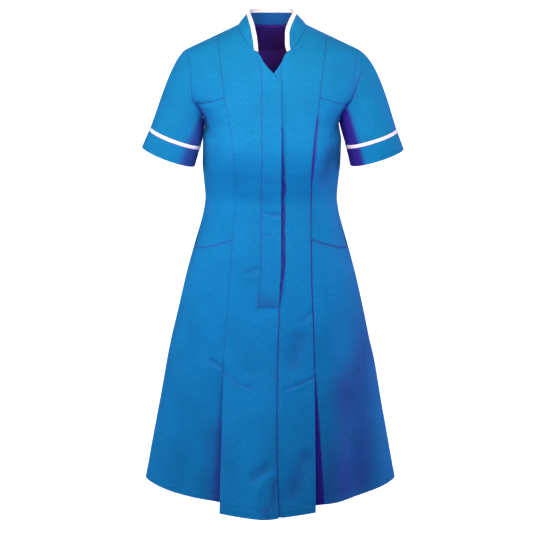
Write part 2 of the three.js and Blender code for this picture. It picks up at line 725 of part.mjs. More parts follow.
// Outward normals of rows of points that close into rings.
function ringNormals(rings, first) {
  const count = rings[0].length;
  const middles = rings.map((ring) =>
    ring.reduce((sum, point) => sum.add(point), new THREE.Vector3()).divideScalar(count),
  );
  return rings.map((ring, i) =>
    ring.map((point, k) => {
      if (i === 0 && first) return { point, normal: first[k] };
      const around = ring[(k + 1) % count].clone().sub(ring[(k + count - 1) % count]);
      const along = rings[Math.min(i + 1, rings.length - 1)][k].clone().sub(rings[Math.max(i - 1, 0)][k]);
      const normal = around.cross(along).normalize();
      if (normal.dot(point.clone().sub(middles[i])) < 0) normal.negate();
      return { point, normal };
    }),
  );
}
// A point between two ends, on the smooth curve that leaves one and reaches the other in the
// given directions.
function onCurve(start, leaving, end, arriving, t) {
  const [t2, t3] = [t * t, t * t * t];
  return start
    .clone()
    .multiplyScalar(2 * t3 - 3 * t2 + 1)
    .addScaledVector(leaving, t3 - 2 * t2 + t)
    .addScaledVector(end, 3 * t2 - 2 * t3)
    .addScaledVector(arriving, t3 - t2);
}
const SLEEVE_SHARES = [0, 0.09, 0.2, 0.35, 0.52, 0.7, 0.86, 1];
const UNDERARM_FULLNESS = 0.35;
const TRIM_RISE = 0.5;
const CUFF_STEPS = 3;
for (const side of ["right", "left"]) {
  const pose = SLEEVES[side];
  const loop = armholeLoop(side);
  // Each armhole point keeps its share of the way round.
  const lengths = loop.map(({ point }, k) => point.distanceTo(loop[(k + 1) % loop.length].point));
  const total = lengths.reduce((a, b) => a + b, 0);
  const share = loop.map((_, k) => lengths.slice(0, k).reduce((a, b) => a + b, 0) / total);
  const trimTop = CUFF_DEPTH + SLEEVE_TRIM_WIDTH;
  const hem = sleeveRing(pose, loop, trimTop + SEAM_GAP, share);
  const down = downSleeve(pose);
  const rings = SLEEVE_SHARES.map((t) =>
    loop.map(({ point, leave, height }, k) => {
      const fullness = height < ARMHOLE_FOLD.length ? UNDERARM_FULLNESS : pose.cap;
      const reach = point.distanceTo(hem[k]);
      const leaving = leave.clone().multiplyScalar(reach * fullness);
      return onCurve(point, leaving, hem[k], down.clone().multiplyScalar(reach), t);
    }),
  );
  const atArmhole = loop.map(({ normal }) => normal);
  add(`sleeve_${side}`, wall(ringNormals(rings, atArmhole), { ring: true }));
  const bandRings = (from, to, steps, rise) => {
    const wider = { ...pose, halfWidth: pose.halfWidth + rise, halfDepth: pose.halfDepth + rise };
    const at = (i) => sleeveRing(wider, loop, mix(from, to, i / steps), share);
    return ringNormals(Array.from({ length: steps + 1 }, (_, i) => at(i)));
  };
  const trimRings = bandRings(trimTop, CUFF_DEPTH + SEAM_GAP, 1, TRIM_RISE);
  add(`sleeve_trim_${side}`, wall(trimRings, { ring: true, thickness: CLOTH + TRIM_RISE }), braid);
  add(`cuff_${side}`, wall(bandRings(CUFF_DEPTH, 0, CUFF_STEPS, 0), { ring: true }));
}

// The stand collar. Its seam follows the neckline's own points, and its free edge carries the
// white trim.
const COLLAR = {
  raised: 0.1,
  bow: 3,
  shares: [1e-6, 0.34, 0.67, 1],
  leastCloth: 0.15,
  leastTrim: 0.18,
  middleY: 5,
};
function necklineStation(edge, inside) {
  const along = edge.point.clone().sub(inside.point).normalize();
  const point = edge.point
    .clone()
    .addScaledVector(along, CLEAR_OF_SEAM)
    .addScaledVector(edge.normal, COLLAR.raised);
  return { point, normal: edge.normal };
}
function necklineLoop() {
  const frontRows = allRows.slice(COLLAR_END_ROW);
  const front = (rows) => frontRows.map((i) => necklineStation(rows[i][0], rows[i][1]));
  const middle = (backRows[0].length - 1) / 2;
  const back = [];
  for (let j = middle - BACK_COLUMNS[0] + 1; j < middle + BACK_COLUMNS[0]; j += 1)
    back.push(necklineStation(backRows[TOP_ROW][j], backRows[TOP_ROW - 1][j]));
  return [...front(centreRows.right), ...back, ...front(centreRows.left).reverse()];
}
function collarEdgePoint(share) {
  const half = Math.abs(2 * share - 1);
  const steps = (COLLAR_EDGE.length - 1) * (1 - half);
  const i = Math.min(Math.floor(steps), COLLAR_EDGE.length - 2);
  const [a, b] = [COLLAR_EDGE[i], COLLAR_EDGE[i + 1]];
  const t = steps - i;
  const x = share < 0.5 ? -mix(a.right, b.right, t) : mix(a.left, b.left, t);
  return new THREE.Vector3(x, mix(a.y, b.y, t), mix(a.z, b.z, t));
}
const seamLoop = necklineLoop();
const frontSteps = TOP_ROW - COLLAR_END_ROW;
// Shares of the free edge for each station: the front ones reach the side, the rest go behind.
const EDGE_POINTS_IN_FRONT = 5;
const FRONT_SHARE = EDGE_POINTS_IN_FRONT / (2 * (COLLAR_EDGE.length - 1));
const edgeShares = seamLoop.map((_, k) => {
  const last = seamLoop.length - 1;
  const fromEnd = Math.min(k, last - k);
  const behind = last / 2 - frontSteps;
  const share =
    fromEnd <= frontSteps
      ? (FRONT_SHARE * fromEnd) / frontSteps
      : mix(FRONT_SHARE, 0.5, (fromEnd - frontSteps) / behind);
  return k <= last / 2 ? share : 1 - share;
});
// A point of the collar above one station, by its share of the way up to the free edge.
function collarPoint(k, t) {
  const seam = seamLoop[k].point;
  const edge = collarEdgePoint(edgeShares[k]);
  const bowed = COLLAR.bow * t * (1 - t);
  const bow = new THREE.Vector3(edge.x, edge.y, 0).normalize().multiplyScalar(bowed);
  return seam.clone().lerp(edge, t).add(bow);
}
const collarHeight = (k) => seamLoop[k].point.distanceTo(collarEdgePoint(edgeShares[k]));
function collarRows(sharesAt, seamed) {
  const grid = sharesAt(0).map((_, r) => seamLoop.map((_, k) => collarPoint(k, sharesAt(k)[r])));
  return grid.map((row, r) =>
    row.map((point, k) => {
      if (seamed && r === 0) return { point: seamLoop[k].point, normal: seamLoop[k].normal };
      const along = row[Math.min(k + 1, row.length - 1)].clone().sub(row[Math.max(k - 1, 0)]);
      const up = grid[Math.min(r + 1, grid.length - 1)][k].clone().sub(grid[Math.max(r - 1, 0)][k]);
      const normal = along.cross(up).normalize();
      const outward = new THREE.Vector3(point.x, point.y - COLLAR.middleY, 0);
      if (normal.dot(outward) < 0) normal.negate();
      return { point, normal };
    }),
  );
}
const clothTop = (k) => 1 - (COLLAR_TRIM_WIDTH + CLEAR_OF_SEAM) / collarHeight(k);
const trimFoot = (k) => 1 - COLLAR_TRIM_WIDTH / collarHeight(k);
const clothShares = (k) => COLLAR.shares.map((t) => t * Math.max(clothTop(k), COLLAR.leastCloth));
const trimShares = (k) => [Math.max(trimFoot(k), COLLAR.leastTrim), 1];
add("collar", wall(collarRows(clothShares, true)));
add("collar_trim", wall(collarRows(trimShares, false)), braid);

// The facing inside the back of the neck, made from the back's points moved in.
const FACING = { thickness: 1, behind: CLOTH + 0.6, lowestRow: V_ROW, above: 0.61, endInset: 0.12 };
function facingRow(row, next, t) {
  const middle = (row.length - 1) / 2;
  const points = [];
  for (let j = middle - BACK_COLUMNS[0]; j <= middle + BACK_COLUMNS[0]; j += 1) {
    const atEnd = Math.abs(j - middle) === BACK_COLUMNS[0];
    const inner = atEnd ? j - Math.sign(j - middle) : j;
    const share = atEnd ? FACING.endInset : 0;
    const point = row[j].point.clone().lerp(row[inner].point, share);
    const above = next[j].point.clone().lerp(next[inner].point, share);
    const { normal } = row[j];
    points.push({ point: point.lerp(above, t).addScaledVector(normal, -FACING.behind), normal });
  }
  return points;
}
const facingRows = [];
for (let i = FACING.lowestRow; i < TOP_ROW - 1; i += 1) {
  const above = i === FACING.lowestRow ? FACING.above : 0;
  facingRows.push(facingRow(backRows[i], backRows[i + 1], above));
}
add("back_neck_facing", wall(facingRows, { thickness: FACING.thickness }));

export default dress;
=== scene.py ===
# %% [markdown]
# # A nurse's uniform dress
# The dress is one thin cloth shell, cut in panels and worn by nobody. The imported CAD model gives
# the frame: every panel's place, in metres, with -Y as the front and +Z up. This script makes
# each panel again as a fine grid, with its creases, stitches and cloth, and lights it.

# %% Load the frame
import math

import bpy
import numpy as np
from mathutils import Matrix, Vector


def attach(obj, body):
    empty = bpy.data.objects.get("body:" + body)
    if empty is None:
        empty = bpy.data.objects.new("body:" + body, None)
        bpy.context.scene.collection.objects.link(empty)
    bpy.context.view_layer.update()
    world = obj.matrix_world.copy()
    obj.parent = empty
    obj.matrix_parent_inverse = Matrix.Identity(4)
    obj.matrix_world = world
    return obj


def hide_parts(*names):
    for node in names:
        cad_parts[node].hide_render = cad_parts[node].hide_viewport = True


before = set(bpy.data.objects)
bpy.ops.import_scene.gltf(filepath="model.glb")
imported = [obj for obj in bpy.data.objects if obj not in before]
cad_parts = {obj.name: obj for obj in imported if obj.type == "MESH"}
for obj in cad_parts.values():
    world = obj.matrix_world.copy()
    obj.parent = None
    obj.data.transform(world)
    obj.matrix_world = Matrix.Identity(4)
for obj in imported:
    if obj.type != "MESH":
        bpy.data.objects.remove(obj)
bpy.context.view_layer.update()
print("CAD nodes:", len(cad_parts))

# %% [markdown]
# ## The camera
# The photograph was taken from about 3.1 m in front, a little above the shoulders and looking
# down some 14 degrees, with a long lens. Low lines such as the hem therefore bow downwards.

# %% Camera
CAMERA_PLACE = Vector((-0.01238, -3.126, 0.2605))
CAMERA_AIM = Vector((-0.01238, 0, -0.5389))
FOCAL_PIXELS = 1433.6
FRAME_PIXELS = 533

camera_data = bpy.data.cameras.new("camera")
camera_data.sensor_width = 36
camera_data.lens = FOCAL_PIXELS / FRAME_PIXELS * camera_data.sensor_width
camera = bpy.data.objects.new("camera", camera_data)
camera.location = CAMERA_PLACE
camera.rotation_euler = (CAMERA_AIM - CAMERA_PLACE).to_track_quat("-Z", "Y").to_euler()
bpy.context.scene.collection.objects.link(camera)
bpy.context.scene.camera = camera
print("lens", round(camera_data.lens, 1), "mm")

# %% [markdown]
# ## Smooth tables
# A pattern cutter keeps a dress as a list of body measures at each height. So do we: each table
# below has one row for a height, and a curve through its rows that never overshoots them.
# All shapes are worked out in millimetres and turned into metres when a mesh is made.

# %% Ramps and smooth columns
def mix(a, b, t):
    """The value a share t of the way from a to b."""
    return a + (b - a) * t


def ramp(a, b, v):
    """0 at a and 1 at b, on the S-curve 3 t^2 - 2 t^3 in between."""
    t = np.clip((v - a) / (b - a), 0, 1)
    return t * t * (3 - 2 * t)


def column(table, key):
    """A column as a function of the first one: cubic pieces whose slope at each row is the
    harmonic mean of its neighbours' slopes, so that the curve never overshoots."""
    rows = np.array(sorted(table), float)
    at, value = rows[:, 0], rows[:, key]
    slope = np.diff(value) / np.diff(at)
    before, after = np.r_[slope[:1], slope], np.r_[slope, slope[-1:]]
    same_way = before * after > 0
    tangent = np.where(same_way, 2 * before * after / np.where(same_way, before + after, 1), 0)

    def read(v):
        v = np.clip(v, at[0], at[-1])
        i = np.clip(np.searchsorted(at, v, side="right") - 1, 0, len(at) - 2)
        step = at[i + 1] - at[i]
        t = (v - at[i]) / step
        return (
            value[i] * (1 + 2 * t) * (1 - t) ** 2
            + value[i + 1] * t * t * (3 - 2 * t)
            + step * t * (1 - t) * (tangent[i] * (1 - t) - tangent[i + 1] * t)
        )

    return read


# %% The body's sections
# height, half the width, depth in front, depth behind, squareness in front, squareness behind
SECTIONS = [
    (-1045, 291, 203, 190, 1.43, 1.75),
    (-930, 269, 183, 172, 1.58, 1.8),
    (-845, 252, 169, 159, 1.7, 1.86),
    (-737, 231, 153, 144, 1.87, 1.95),
    (-616, 205, 137, 128, 2.05, 2.08),
    (-545, 188, 128, 117, 2.14, 2.14),
    (-486, 171.5, 120, 104, 2.2, 2.2),
    (-440, 158, 112, 90, 2.25, 2.25),
    (-413, 151, 108, 82, 2.25, 2.25),
    (-377, 146, 106, 77, 2.25, 2.25),
    (-335, 149, 117, 81, 2.28, 2.28),
    (-295, 152, 130, 89, 2.32, 2.32),
    (-252, 152, 136, 98, 2.35, 2.35),
    (-212, 147, 132, 104, 2.35, 2.35),
    (-190, 158, 127, 106, 2.32, 2.32),
    (-168, 176, 121, 107, 2.3, 2.3),
    (-145, 189, 116, 107, 2.3, 2.3),
    (-100, 196, 104, 104, 2.3, 2.3),
    (-53, 197, 92, 98, 2.3, 2.3),
    (0, 197, 84, 92, 2.3, 2.3),
    (40, 197, 80, 84, 2.3, 2.3),
]
HEM, PLEAT_TOP, BAND_FOOT = -1045, -737, -597
half_width = column(SECTIONS, 1)
depth = {"front": column(SECTIONS, 2), "back": column(SECTIONS, 3)}
square = {"front": column(SECTIONS, 4), "back": column(SECTIONS, 5)}
print("hem", 2 * half_width(HEM), "mm wide, waist", 2 * half_width(-377), "mm")

# %% [markdown]
# ## The grid of heights
# Rows of the grid run round the dress. From the hem to the armpit they are nearly level, and
# above it they fan out to follow the neckline, the shoulder seam and the armhole. A row has a
# number that need not be whole, so a fine grid only needs more numbers.

# %% Rows
# row number, height at the centre, princess seam, side, back under the neck's side, centre back
LOWER = [HEM, -990, -930, -870, -810, -770, PLEAT_TOP, -690, -640, BAND_FOOT, -545, -498, -453,
         -432, -412, -393, -375, -356, -335, -313, -291, -270, -250, -230]
LOWER_SIDE = {10: -550, 11: -518, 12: -488, 13: -455, 14: -426, 15: -399, 16: -377, 23: -232}
UPPER = [
    (24, -205, -205, -212, -205, -205),
    (25, -180, -176, -190, -176, -178),
    (26, -150, -145, -168, -147, -150),
    (27, -125, -118, -145, -119, -122),
    (28, -107, -94, -121, -94, -98),
    (29, -94, -74, -101, -72, -76),
    (30, -73, -57, -86, -53, -58),
    (31, -52, -45, -75, -38, -44),
    (32, -45, -36, -67, -27, -33),
    (33, -34, -29, -61, -18, -24),
    (34, -22, -24.5, -57, -10.5, -17),
    (35, -13, -22, -55, -5, -12),
    (36, -5, -20.8, -53.6, -1.6, -8.5),
    (37, 0, -20.2, -53, 0, -6.5),
]
POCKET_ROW, BAND_FOOT_ROW, ARMPIT_ROW, BUST_ROW, V_ROW, COLLAR_ROW, TOP_ROW = 12, 9, 24, 26, 29, 32, 37
ROWS = [(i, z, z, LOWER_SIDE.get(i, z), z, z) for i, z in enumerate(LOWER)] + UPPER
centre_z, princess_z, side_z, neck_z, back_z = (column(ROWS, k) for k in range(1, 6))


def fine_rows(first, last, step, close_to=()):
    """Row numbers from first to last, close enough that neighbours stand about step mm apart,
    with a few more on both sides of the rows in close_to."""
    edges = sorted({first, last, *range(math.ceil(first), math.floor(last) + 1)})
    found = [np.array([first])]
    for a, b in zip(edges[:-1], edges[1:]):
        height = max(abs(centre_z(b) - centre_z(a)), abs(side_z(b) - side_z(a)))
        found.append(np.linspace(a, b, max(1, math.ceil(height / step)) + 1)[1:])
    for row in close_to:
        per_mm = 1 / abs(princess_z(min(row + 0.5, TOP_ROW)) - princess_z(row - 0.5))
        beside = row + per_mm * np.array([-3, -1.8, -0.9, 0.9, 1.8, 3])
        found.append(beside[(beside > first) & (beside < last)])
    return np.unique(np.concatenate(found))


print("rows of a fine front:", len(fine_rows(0, TOP_ROW, 4)))

# %% Seams across the front
# height, x of the seam
OVER_EDGE = [(HEM, 14), (-887, 8.6), (PLEAT_TOP, 9.9), (-591, 14), (-545, 13), (-107, 13)]
UNDER_EDGE = [(HEM, 2), (-640, 0), (-591, -10), (-545, -15), (-125, -15), (-107, -9)]
BAND_SIDE = [(HEM, -36), (-591, -31), (-545, -27), (-453, -24.6), (-258, -22.9), (-125, -22.5),
             (-94, -24), (-73, -27)]
PRINCESS_RIGHT = [(HEM, -116), (-946, -113), (-834, -110), (PLEAT_TOP, -107), (-638, -99.5),
                  (-553, -93), (-453, -86), (-397, -81), (-343, -78), (-253, -83), (-189, -93.5),
                  (-145, -102), (-98, -107), (-59, -112), (-20, -117)]
PRINCESS_LEFT = [(HEM, 96), (-834, 94), (-638, 90), (-553, 86.5), (-453, 85), (-343, 84),
                 (-263, 87), (-185, 97), (-109, 105), (-69, 111), (-20, 117)]
# row, x of the overlapping neckline, x of the under one
NECKLINE = [(28, 13, -9), (29, 2.5, 2.5), (30, -17, 18), (31, -30, 29.5), (32, -42, 41),
            (33, -53, 52), (34, -62, 61), (35, -68, 67.5), (36, -72, 72), (37, -74, 74)]
# height, half the width between the armholes in front and behind
ARMHOLE = [(-212, 147, 147), (-190, 154, 156), (-168, 165, 168), (-145, 173, 175),
           (-121, 175, 178), (-100, 176, 179), (-78, 179, 180), (-61, 184, 184), (-53, 187, 187)]
NECK_HALF_WIDTH, SHOULDER_SLOPE, SHOULDER_ROUNDING = 74, 0.469, 110
CLOTH, SEAM_GAP = 1.2, 0.3
HALF_GAP = SEAM_GAP / 2


def sway(z):
    """How far the dress hangs to the wearer's right: 2 mm below the chest, 3.7 at the hem."""
    return -2 * ramp(-235, -340, z) - 1.7 * np.clip((-400 - z) / (-400 - HEM), 0, 1)


def across(table):
    """A seam's x by height, with the sway taken off, since cloth() puts it back on."""
    read = column(table, 1)
    return lambda z: read(z) - sway(z)


over_edge, under_edge, band_side = across(OVER_EDGE), across(UNDER_EDGE), across(BAND_SIDE)
princess = {"right": across(PRINCESS_RIGHT), "left": across(PRINCESS_LEFT)}
armhole = {"front": column(ARMHOLE, 1), "back": column(ARMHOLE, 2)}
neckline = {"over": column(NECKLINE, 1), "under": column(NECKLINE, 2)}
print("neck", 2 * NECK_HALF_WIDTH, "mm wide")

# %% [markdown]
# ## The body as a function
# A section of a worn dress is an oval a little squarer than an ellipse. A point of the cloth is
# found from its face, x and z: the oval gives y, the shoulders round it off, and the direction
# out of the cloth comes from two small steps along it.

# %% Points of the cloth
FACE = {"front": -1, "back": 1}


def shoulder_z(x):
    """The height of the shoulder seam, which falls by 0.469 mm for each mm out from the neck."""
    return -SHOULDER_SLOPE * (abs(x) - NECK_HALF_WIDTH)


def nearness(x, z):
    """0 from 110 mm below the shoulder seam down, and 1 on the seam."""
    return np.clip((z - shoulder_z(x)) / SHOULDER_ROUNDING + 1, 0, 1)


def oval(face, angle, z):
    """A point where |x / half|^n + |y / depth|^n = 1 at this angle from the centre, with y
    drawn in by the quarter circle sqrt(1 - nearness^2) towards the shoulder seam."""
    sine, cosine, n = np.sin(angle), np.cos(angle), square[face](z)
    reach = ((abs(sine) / half_width(z)) ** n + (abs(cosine) / depth[face](z)) ** n) ** (-1 / n)
    x = reach * sine
    y = FACE[face] * reach * cosine * np.sqrt(1 - nearness(x, z) ** 2)
    return np.stack(np.broadcast_arrays(x, y, z), -1)


def angle_at(face, x, z):
    """The angle at which the section reaches x, found by halving the range 32 times."""
    x, z = np.broadcast_arrays(x, z)
    low, high = np.zeros(x.shape), np.full(x.shape, math.pi / 2)
    for _ in range(32):
        middle = (low + high) / 2
        short = oval(face, middle, z)[..., 0] < abs(x)
        low, high = np.where(short, middle, low), np.where(short, high, middle)
    return np.sign(x) * high


def unit(v):
    """Each vector divided by its own length."""
    return v / np.maximum(np.linalg.norm(v, axis=-1, keepdims=True), 1e-12)


def outward(face, angle, z):
    """The cross product of a step round the oval and a step up, turned to the shoulder seam's
    own upward direction over the last 30 percent of the way to it."""
    round_it = oval(face, angle + 0.01, z) - oval(face, angle - 0.01, z)
    up = oval(face, angle, z + 1) - oval(face, angle, z - 1)
    normal = unit(np.cross(round_it, up)) * -FACE[face]
    x = oval(face, angle, z)[..., 0]
    seam = unit(np.stack([np.sign(x) * SHOULDER_SLOPE, 0 * x, 0 * x + 1], -1))
    return unit(mix(normal, seam, ramp(0.7, 0.97, nearness(x, z))[..., None]))


def cloth(face, x, z, forward=0.0, out=0.0):
    """The cloth's point at x and z and its outward direction: on the oval, then moved forward
    along -Y, then out along the direction. Points within 0.3 mm of the shoulder seam lie on it."""
    z = np.where(abs(z - shoulder_z(x)) < 0.3, shoulder_z(x), z)
    angle = angle_at(face, x, z)
    point, normal = oval(face, angle, z), outward(face, angle, z)
    point[..., 0] += sway(z)
    point[..., 1] -= forward
    point += normal * np.asarray(out)[..., None]
    if face == "front":
        point[..., 1] = np.minimum(point[..., 1], -0.2)
    else:
        point[..., 1] = np.maximum(point[..., 1], 0.2)
    return point, normal


print("centre front at the waist:", cloth("front", np.array([0.01]), np.array([-377.0]))[0].round(1))

# %% Bust, pleats and lap
def bust(x, z):
    """Two bell-shaped lobes, 9 mm high, over the princess seams."""
    return 9 * np.exp(-(((abs(x) - 88) / 48) ** 2) - ((z + 258) / 60) ** 2)


def opening(z):
    """0 at the top of the pleats and 1 at the hem."""
    return np.clip((PLEAT_TOP - z) / (PLEAT_TOP - HEM), 0, 1)


def parting(z):
    """The cloth parts by 3 mm just above the pleats."""
    return 3 * ramp(-640, PLEAT_TOP, z)


def centre_lift(x, z):
    """The centre front stands out over its pleats: 43 mm at the hem on the wearer's right and
    31 mm on the left, which leaves a soft ridge between."""
    at_hem = mix(43, 31, ramp(-30, 40, x))
    return np.where(z > PLEAT_TOP, bust(x, z) + parting(z), 3 + opening(z) * at_hem)


# tuck beside the pleat, how far it reaches round, swell farther round
BESIDE_PLEAT = {"right": (12, 60, 0), "left": (4, 45, 9)}


def side_lift(side, x, z):
    """The side fronts tuck in beside the pleats and swell out farther round."""
    tuck, reach, swell = BESIDE_PLEAT[side]
    away = abs(x - princess[side](z))
    rising = swell * opening(z) * np.exp(-(((away - 50) / 45) ** 2))
    falling = (parting(z) + tuck * opening(z)) * np.exp(-((away / reach) ** 2))
    return bust(x, z) + rising - falling


LAP_DEPTH = column([(HEM, 5), (PLEAT_TOP, 3), (-640, 2.4), (-560, 6), (-400, 9), (-250, 8),
                    (-150, 3.4), (-90, 2.4)], 1)
BAND_OVERHANG = 6


def lap_sink(x, z):
    """The under front sinks beside the overlapping one, up to 9 mm along the placket's gap."""
    edge = over_edge(z) + (BAND_OVERHANG + 1) * ramp(-620, -560, z) * ramp(-100, -130, z)
    return -LAP_DEPTH(z) * ramp(edge + 12, edge, x)


print("lift at the hem:", centre_lift(np.array([-100.0, 90.0]), np.array([HEM, HEM])))

# %% [markdown]
# ## Creases placed one by one
# A crease in cloth is a soft trough with a low ridge beside it. Each one is a line from one
# point to another on the front or back, with a width and a depth. Their heights add up, so a
# long fold crosses a seam without a step.

# %% Folds
# x and z at both ends, width, height (a trough is negative), ridge beside it
FRONT_FOLDS = [
    # wrinkles that run in from the armpits
    (-162, -164, -126, -156, 5, -1.6, 1.0),
    (-164, -160, -141, -202, 7, -4.0, 1.5),
    (-149, -206, -126, -238, 9, -2.5, 0.8),
    (166, -162, 148, -200, 7, -3.5, 1.0),
    (150, -210, 128, -236, 9, -2.0, 0.8),
    # the standing fold beside the wearer's left princess seam, and the hollow behind it
    (97, -188, 87, -300, 5, -2.2, 1.0),
    (136, -250, 110, -345, 14, -3.0, 0.0),
    (34, -209, 68, -220, 6, -1.2, 0.6),
    # creases that cross the placket where the waist bends
    (-22, -391, 2, -400, 4, -1.8, 0.8),
    (-4, -400, 19, -396, 5, -2.2, 1.0),
    (-22, -441, 0, -443, 4, -1.2, 0.5),
    (-34, -602, 18, -598, 13, -3.0, 0.0),
    (-62, -523, -26, -514, 8, -2.0, 1.0),
    # pulls at the tops of the pleats, and the stays' creases across the centre
    (-140, -722, -106, -738, 6, -2.8, 1.4),
    (-112, -745, -76, -757, 4, -1.8, 1.2),
    (-86, -760, -38, -775, 4, -2.0, 1.4),
    (28, -776, 62, -764, 4, -1.8, 1.3),
    (58, -767, 97, -750, 4, -2.2, 1.4),
    (-4, -743, 9, -748, 4, -1.4, 0.6),
    (60, -632, 92, -610, 8, -1.8, 1.2),
    (42, -738, 64, -655, 20, -5.0, 0.0),
    # soft hollows of the hanging skirt
    (176, -600, 186, -1060, 36, -5.0, 2.5),
    (226, -690, 250, -1040, 16, 2.2, 0.0),
    (-176, -640, -196, -1050, 30, -3.0, 2.0),
    (-48, -968, -2, -930, 12, -3.0, 1.5),
    (5, -962, 3, -1020, 6, -1.8, 0.8),
    (76, -915, 38, -1015, 18, -4.0, 1.5),
    (-78, -900, -66, -1020, 22, -2.5, 1.0),
]
BACK_FOLDS = [
    (-150, -178, -112, -235, 10, -2.5, 1.0),
    (152, -180, 118, -240, 11, -2.5, 1.0),
    (-96, -372, 20, -392, 7, -2.0, 1.0),
    (104, -366, -6, -398, 8, -1.8, 1.0),
    (-60, -430, 58, -438, 9, -1.5, 0.8),
    (-30, -90, 26, -96, 9, -1.2, 0.5),
]


def relief(folds, x, z):
    """The sum over the folds of height * exp(-(distance / width)^2), faded at both ends, plus
    the same with the ridge's height at 1.6 widths to one side."""
    total = np.zeros(np.broadcast(x, z).shape)
    for x0, z0, x1, z1, width, height, ridge in folds:
        along = np.array([x1 - x0, z1 - z0], float)
        length = np.linalg.norm(along)
        along /= length
        t = ((x - x0) * along[0] + (z - z0) * along[1]) / length
        away = (x - x0) * along[1] - (z - z0) * along[0]
        fade = ramp(-0.12, 0.2, t) * ramp(1.12, 0.8, t) * (1 + 0.18 * np.sin(9 * t + x0))
        shape = height * np.exp(-((away / width) ** 2))
        shape = shape + ridge * np.exp(-(((away - 1.6 * width) / width) ** 2))
        total += fade * shape
    return total


print("folds:", len(FRONT_FOLDS), "in front,", len(BACK_FOLDS), "behind")

# %% [markdown]
# ## Painted shade
# Shade is painted into the cloth's colour: a fold that gets only second-hand light is painted violet
# rather than a darker blue. Each piece carries a number from 0 to 1, its shade, that the material
# reads. It is the same sum over short lines as the folds, with the lines of the seams added, where
# the dark line is the seam itself and painted shade together.

# %% Shade
# x and z at both ends, width, strength, 0: painted shade in folds, hollows and on the skirt's flank
FRONT_SHADE = [
    (-166, -164, -146, -200, 6, 0.55, 0), (164, -160, 150, -205, 7, 0.5, 0),
    (97, -186, 86, -322, 3.5, 0.75, 0), (136, -245, 110, -350, 17, 0.3, 0),
    (-22, -391, 2, -400, 3, 0.16, 0), (-4, -401, 19, -397, 4, 0.26, 0),
    (-22, -441, 0, -443, 3, 0.14, 0), (-60, -523, -26, -514, 7, 0.1, 0),
    (-138, -724, -106, -738, 5, 0.3, 0), (-112, -746, -76, -758, 3, 0.3, 0),
    (-86, -761, -38, -776, 3, 0.3, 0), (28, -777, 62, -765, 3, 0.28, 0),
    (58, -768, 97, -751, 3, 0.38, 0), (-4, -744, 9, -748, 3, 0.3, 0),
    (60, -634, 92, -612, 6, 0.14, 0), (44, -740, 64, -655, 17, 0.16, 0),
    (208, -640, 212, -1070, 27, 0.4, 0), (164, -740, 164, -1080, 33, 0.5, 0),
    (128, -900, 122, -1070, 20, 0.22, 0), (-48, -968, -2, -930, 9, 0.2, 0),
    (4, -958, 2, -1026, 5, 0.42, 0), (78, -905, 40, -1020, 16, 0.26, 0),
    (-10, -1012, -14, -1045, 8, 0.3, 0), (-120, -850, -140, -1045, 26, 0.16, 0),
]


def seam_line(near, strength, width=1.3):
    """A seam's dark line, the seam and painted shade: strength * exp(-(distance / width)^2)."""
    return strength * np.exp(-((near / width) ** 2))


def shade_at(x, z, *lines):
    """The shade of the front at x and z with a piece's own lines added, from 0 to 1."""
    return np.clip(relief(FRONT_SHADE, x + sway(z), z) + sum(lines), 0, 1)


print("shaded places:", len(FRONT_SHADE))

# %% [markdown]
# ## Making a wall of cloth
# Two grids, one on the outside and one a cloth's thickness in, joined by a rim, make a closed
# thin shell. Its UV map is the cloth's own length and width in metres, so that the weave runs
# with the grain wherever the panel turns.

# %% Grids to meshes
scene = bpy.context.scene
INSIDE, OUTSIDE = 1, 0


def grain(points):
    """UV from the cloth's own lengths: along each row from its middle, and up each column."""
    along = np.cumsum(np.linalg.norm(np.diff(points, axis=1, prepend=points[:, :1]), axis=2), 1)
    along -= along[:, [points.shape[1] // 2]]
    up = np.cumsum(np.linalg.norm(np.diff(points, axis=0, prepend=points[:1]), axis=2), 0)
    return np.stack([along, up], -1) / 1000


def quads(index, flip):
    """The four corners of each cell of a grid of point numbers."""
    a, b, c, d = index[:-1, :-1], index[:-1, 1:], index[1:, 1:], index[1:, :-1]
    cells = np.stack([a, b, c, d], -1).reshape(-1, 4)
    return cells[:, ::-1] if flip else cells


def new_mesh(name, points, cells, uv, inner_cells, materials):
    """A smooth mesh from arrays of points in mm and four-cornered cells."""
    mesh = bpy.data.meshes.new(name)
    mesh.vertices.add(len(points))
    mesh.vertices.foreach_set("co", (points / 1000).astype(np.float32).ravel())
    mesh.loops.add(cells.size)
    mesh.loops.foreach_set("vertex_index", cells.ravel().astype(np.int32))
    mesh.polygons.add(len(cells))
    mesh.polygons.foreach_set("loop_start", np.arange(0, cells.size, 4, dtype=np.int32))
    mesh.polygons.foreach_set("material_index", inner_cells.astype(np.int32))
    mesh.update(calc_edges=True)
    mesh.uv_layers.new(name="grain").uv.foreach_set("vector", uv[cells].astype(np.float32).ravel())
    mesh.polygons.foreach_set("use_smooth", np.ones(len(cells), bool))
    mesh.set_sharp_from_angle(angle=math.radians(48))
    for material in materials:
        mesh.materials.append(material)
    piece = bpy.data.objects.new(name, mesh)
    scene.collection.objects.link(piece)
    return piece


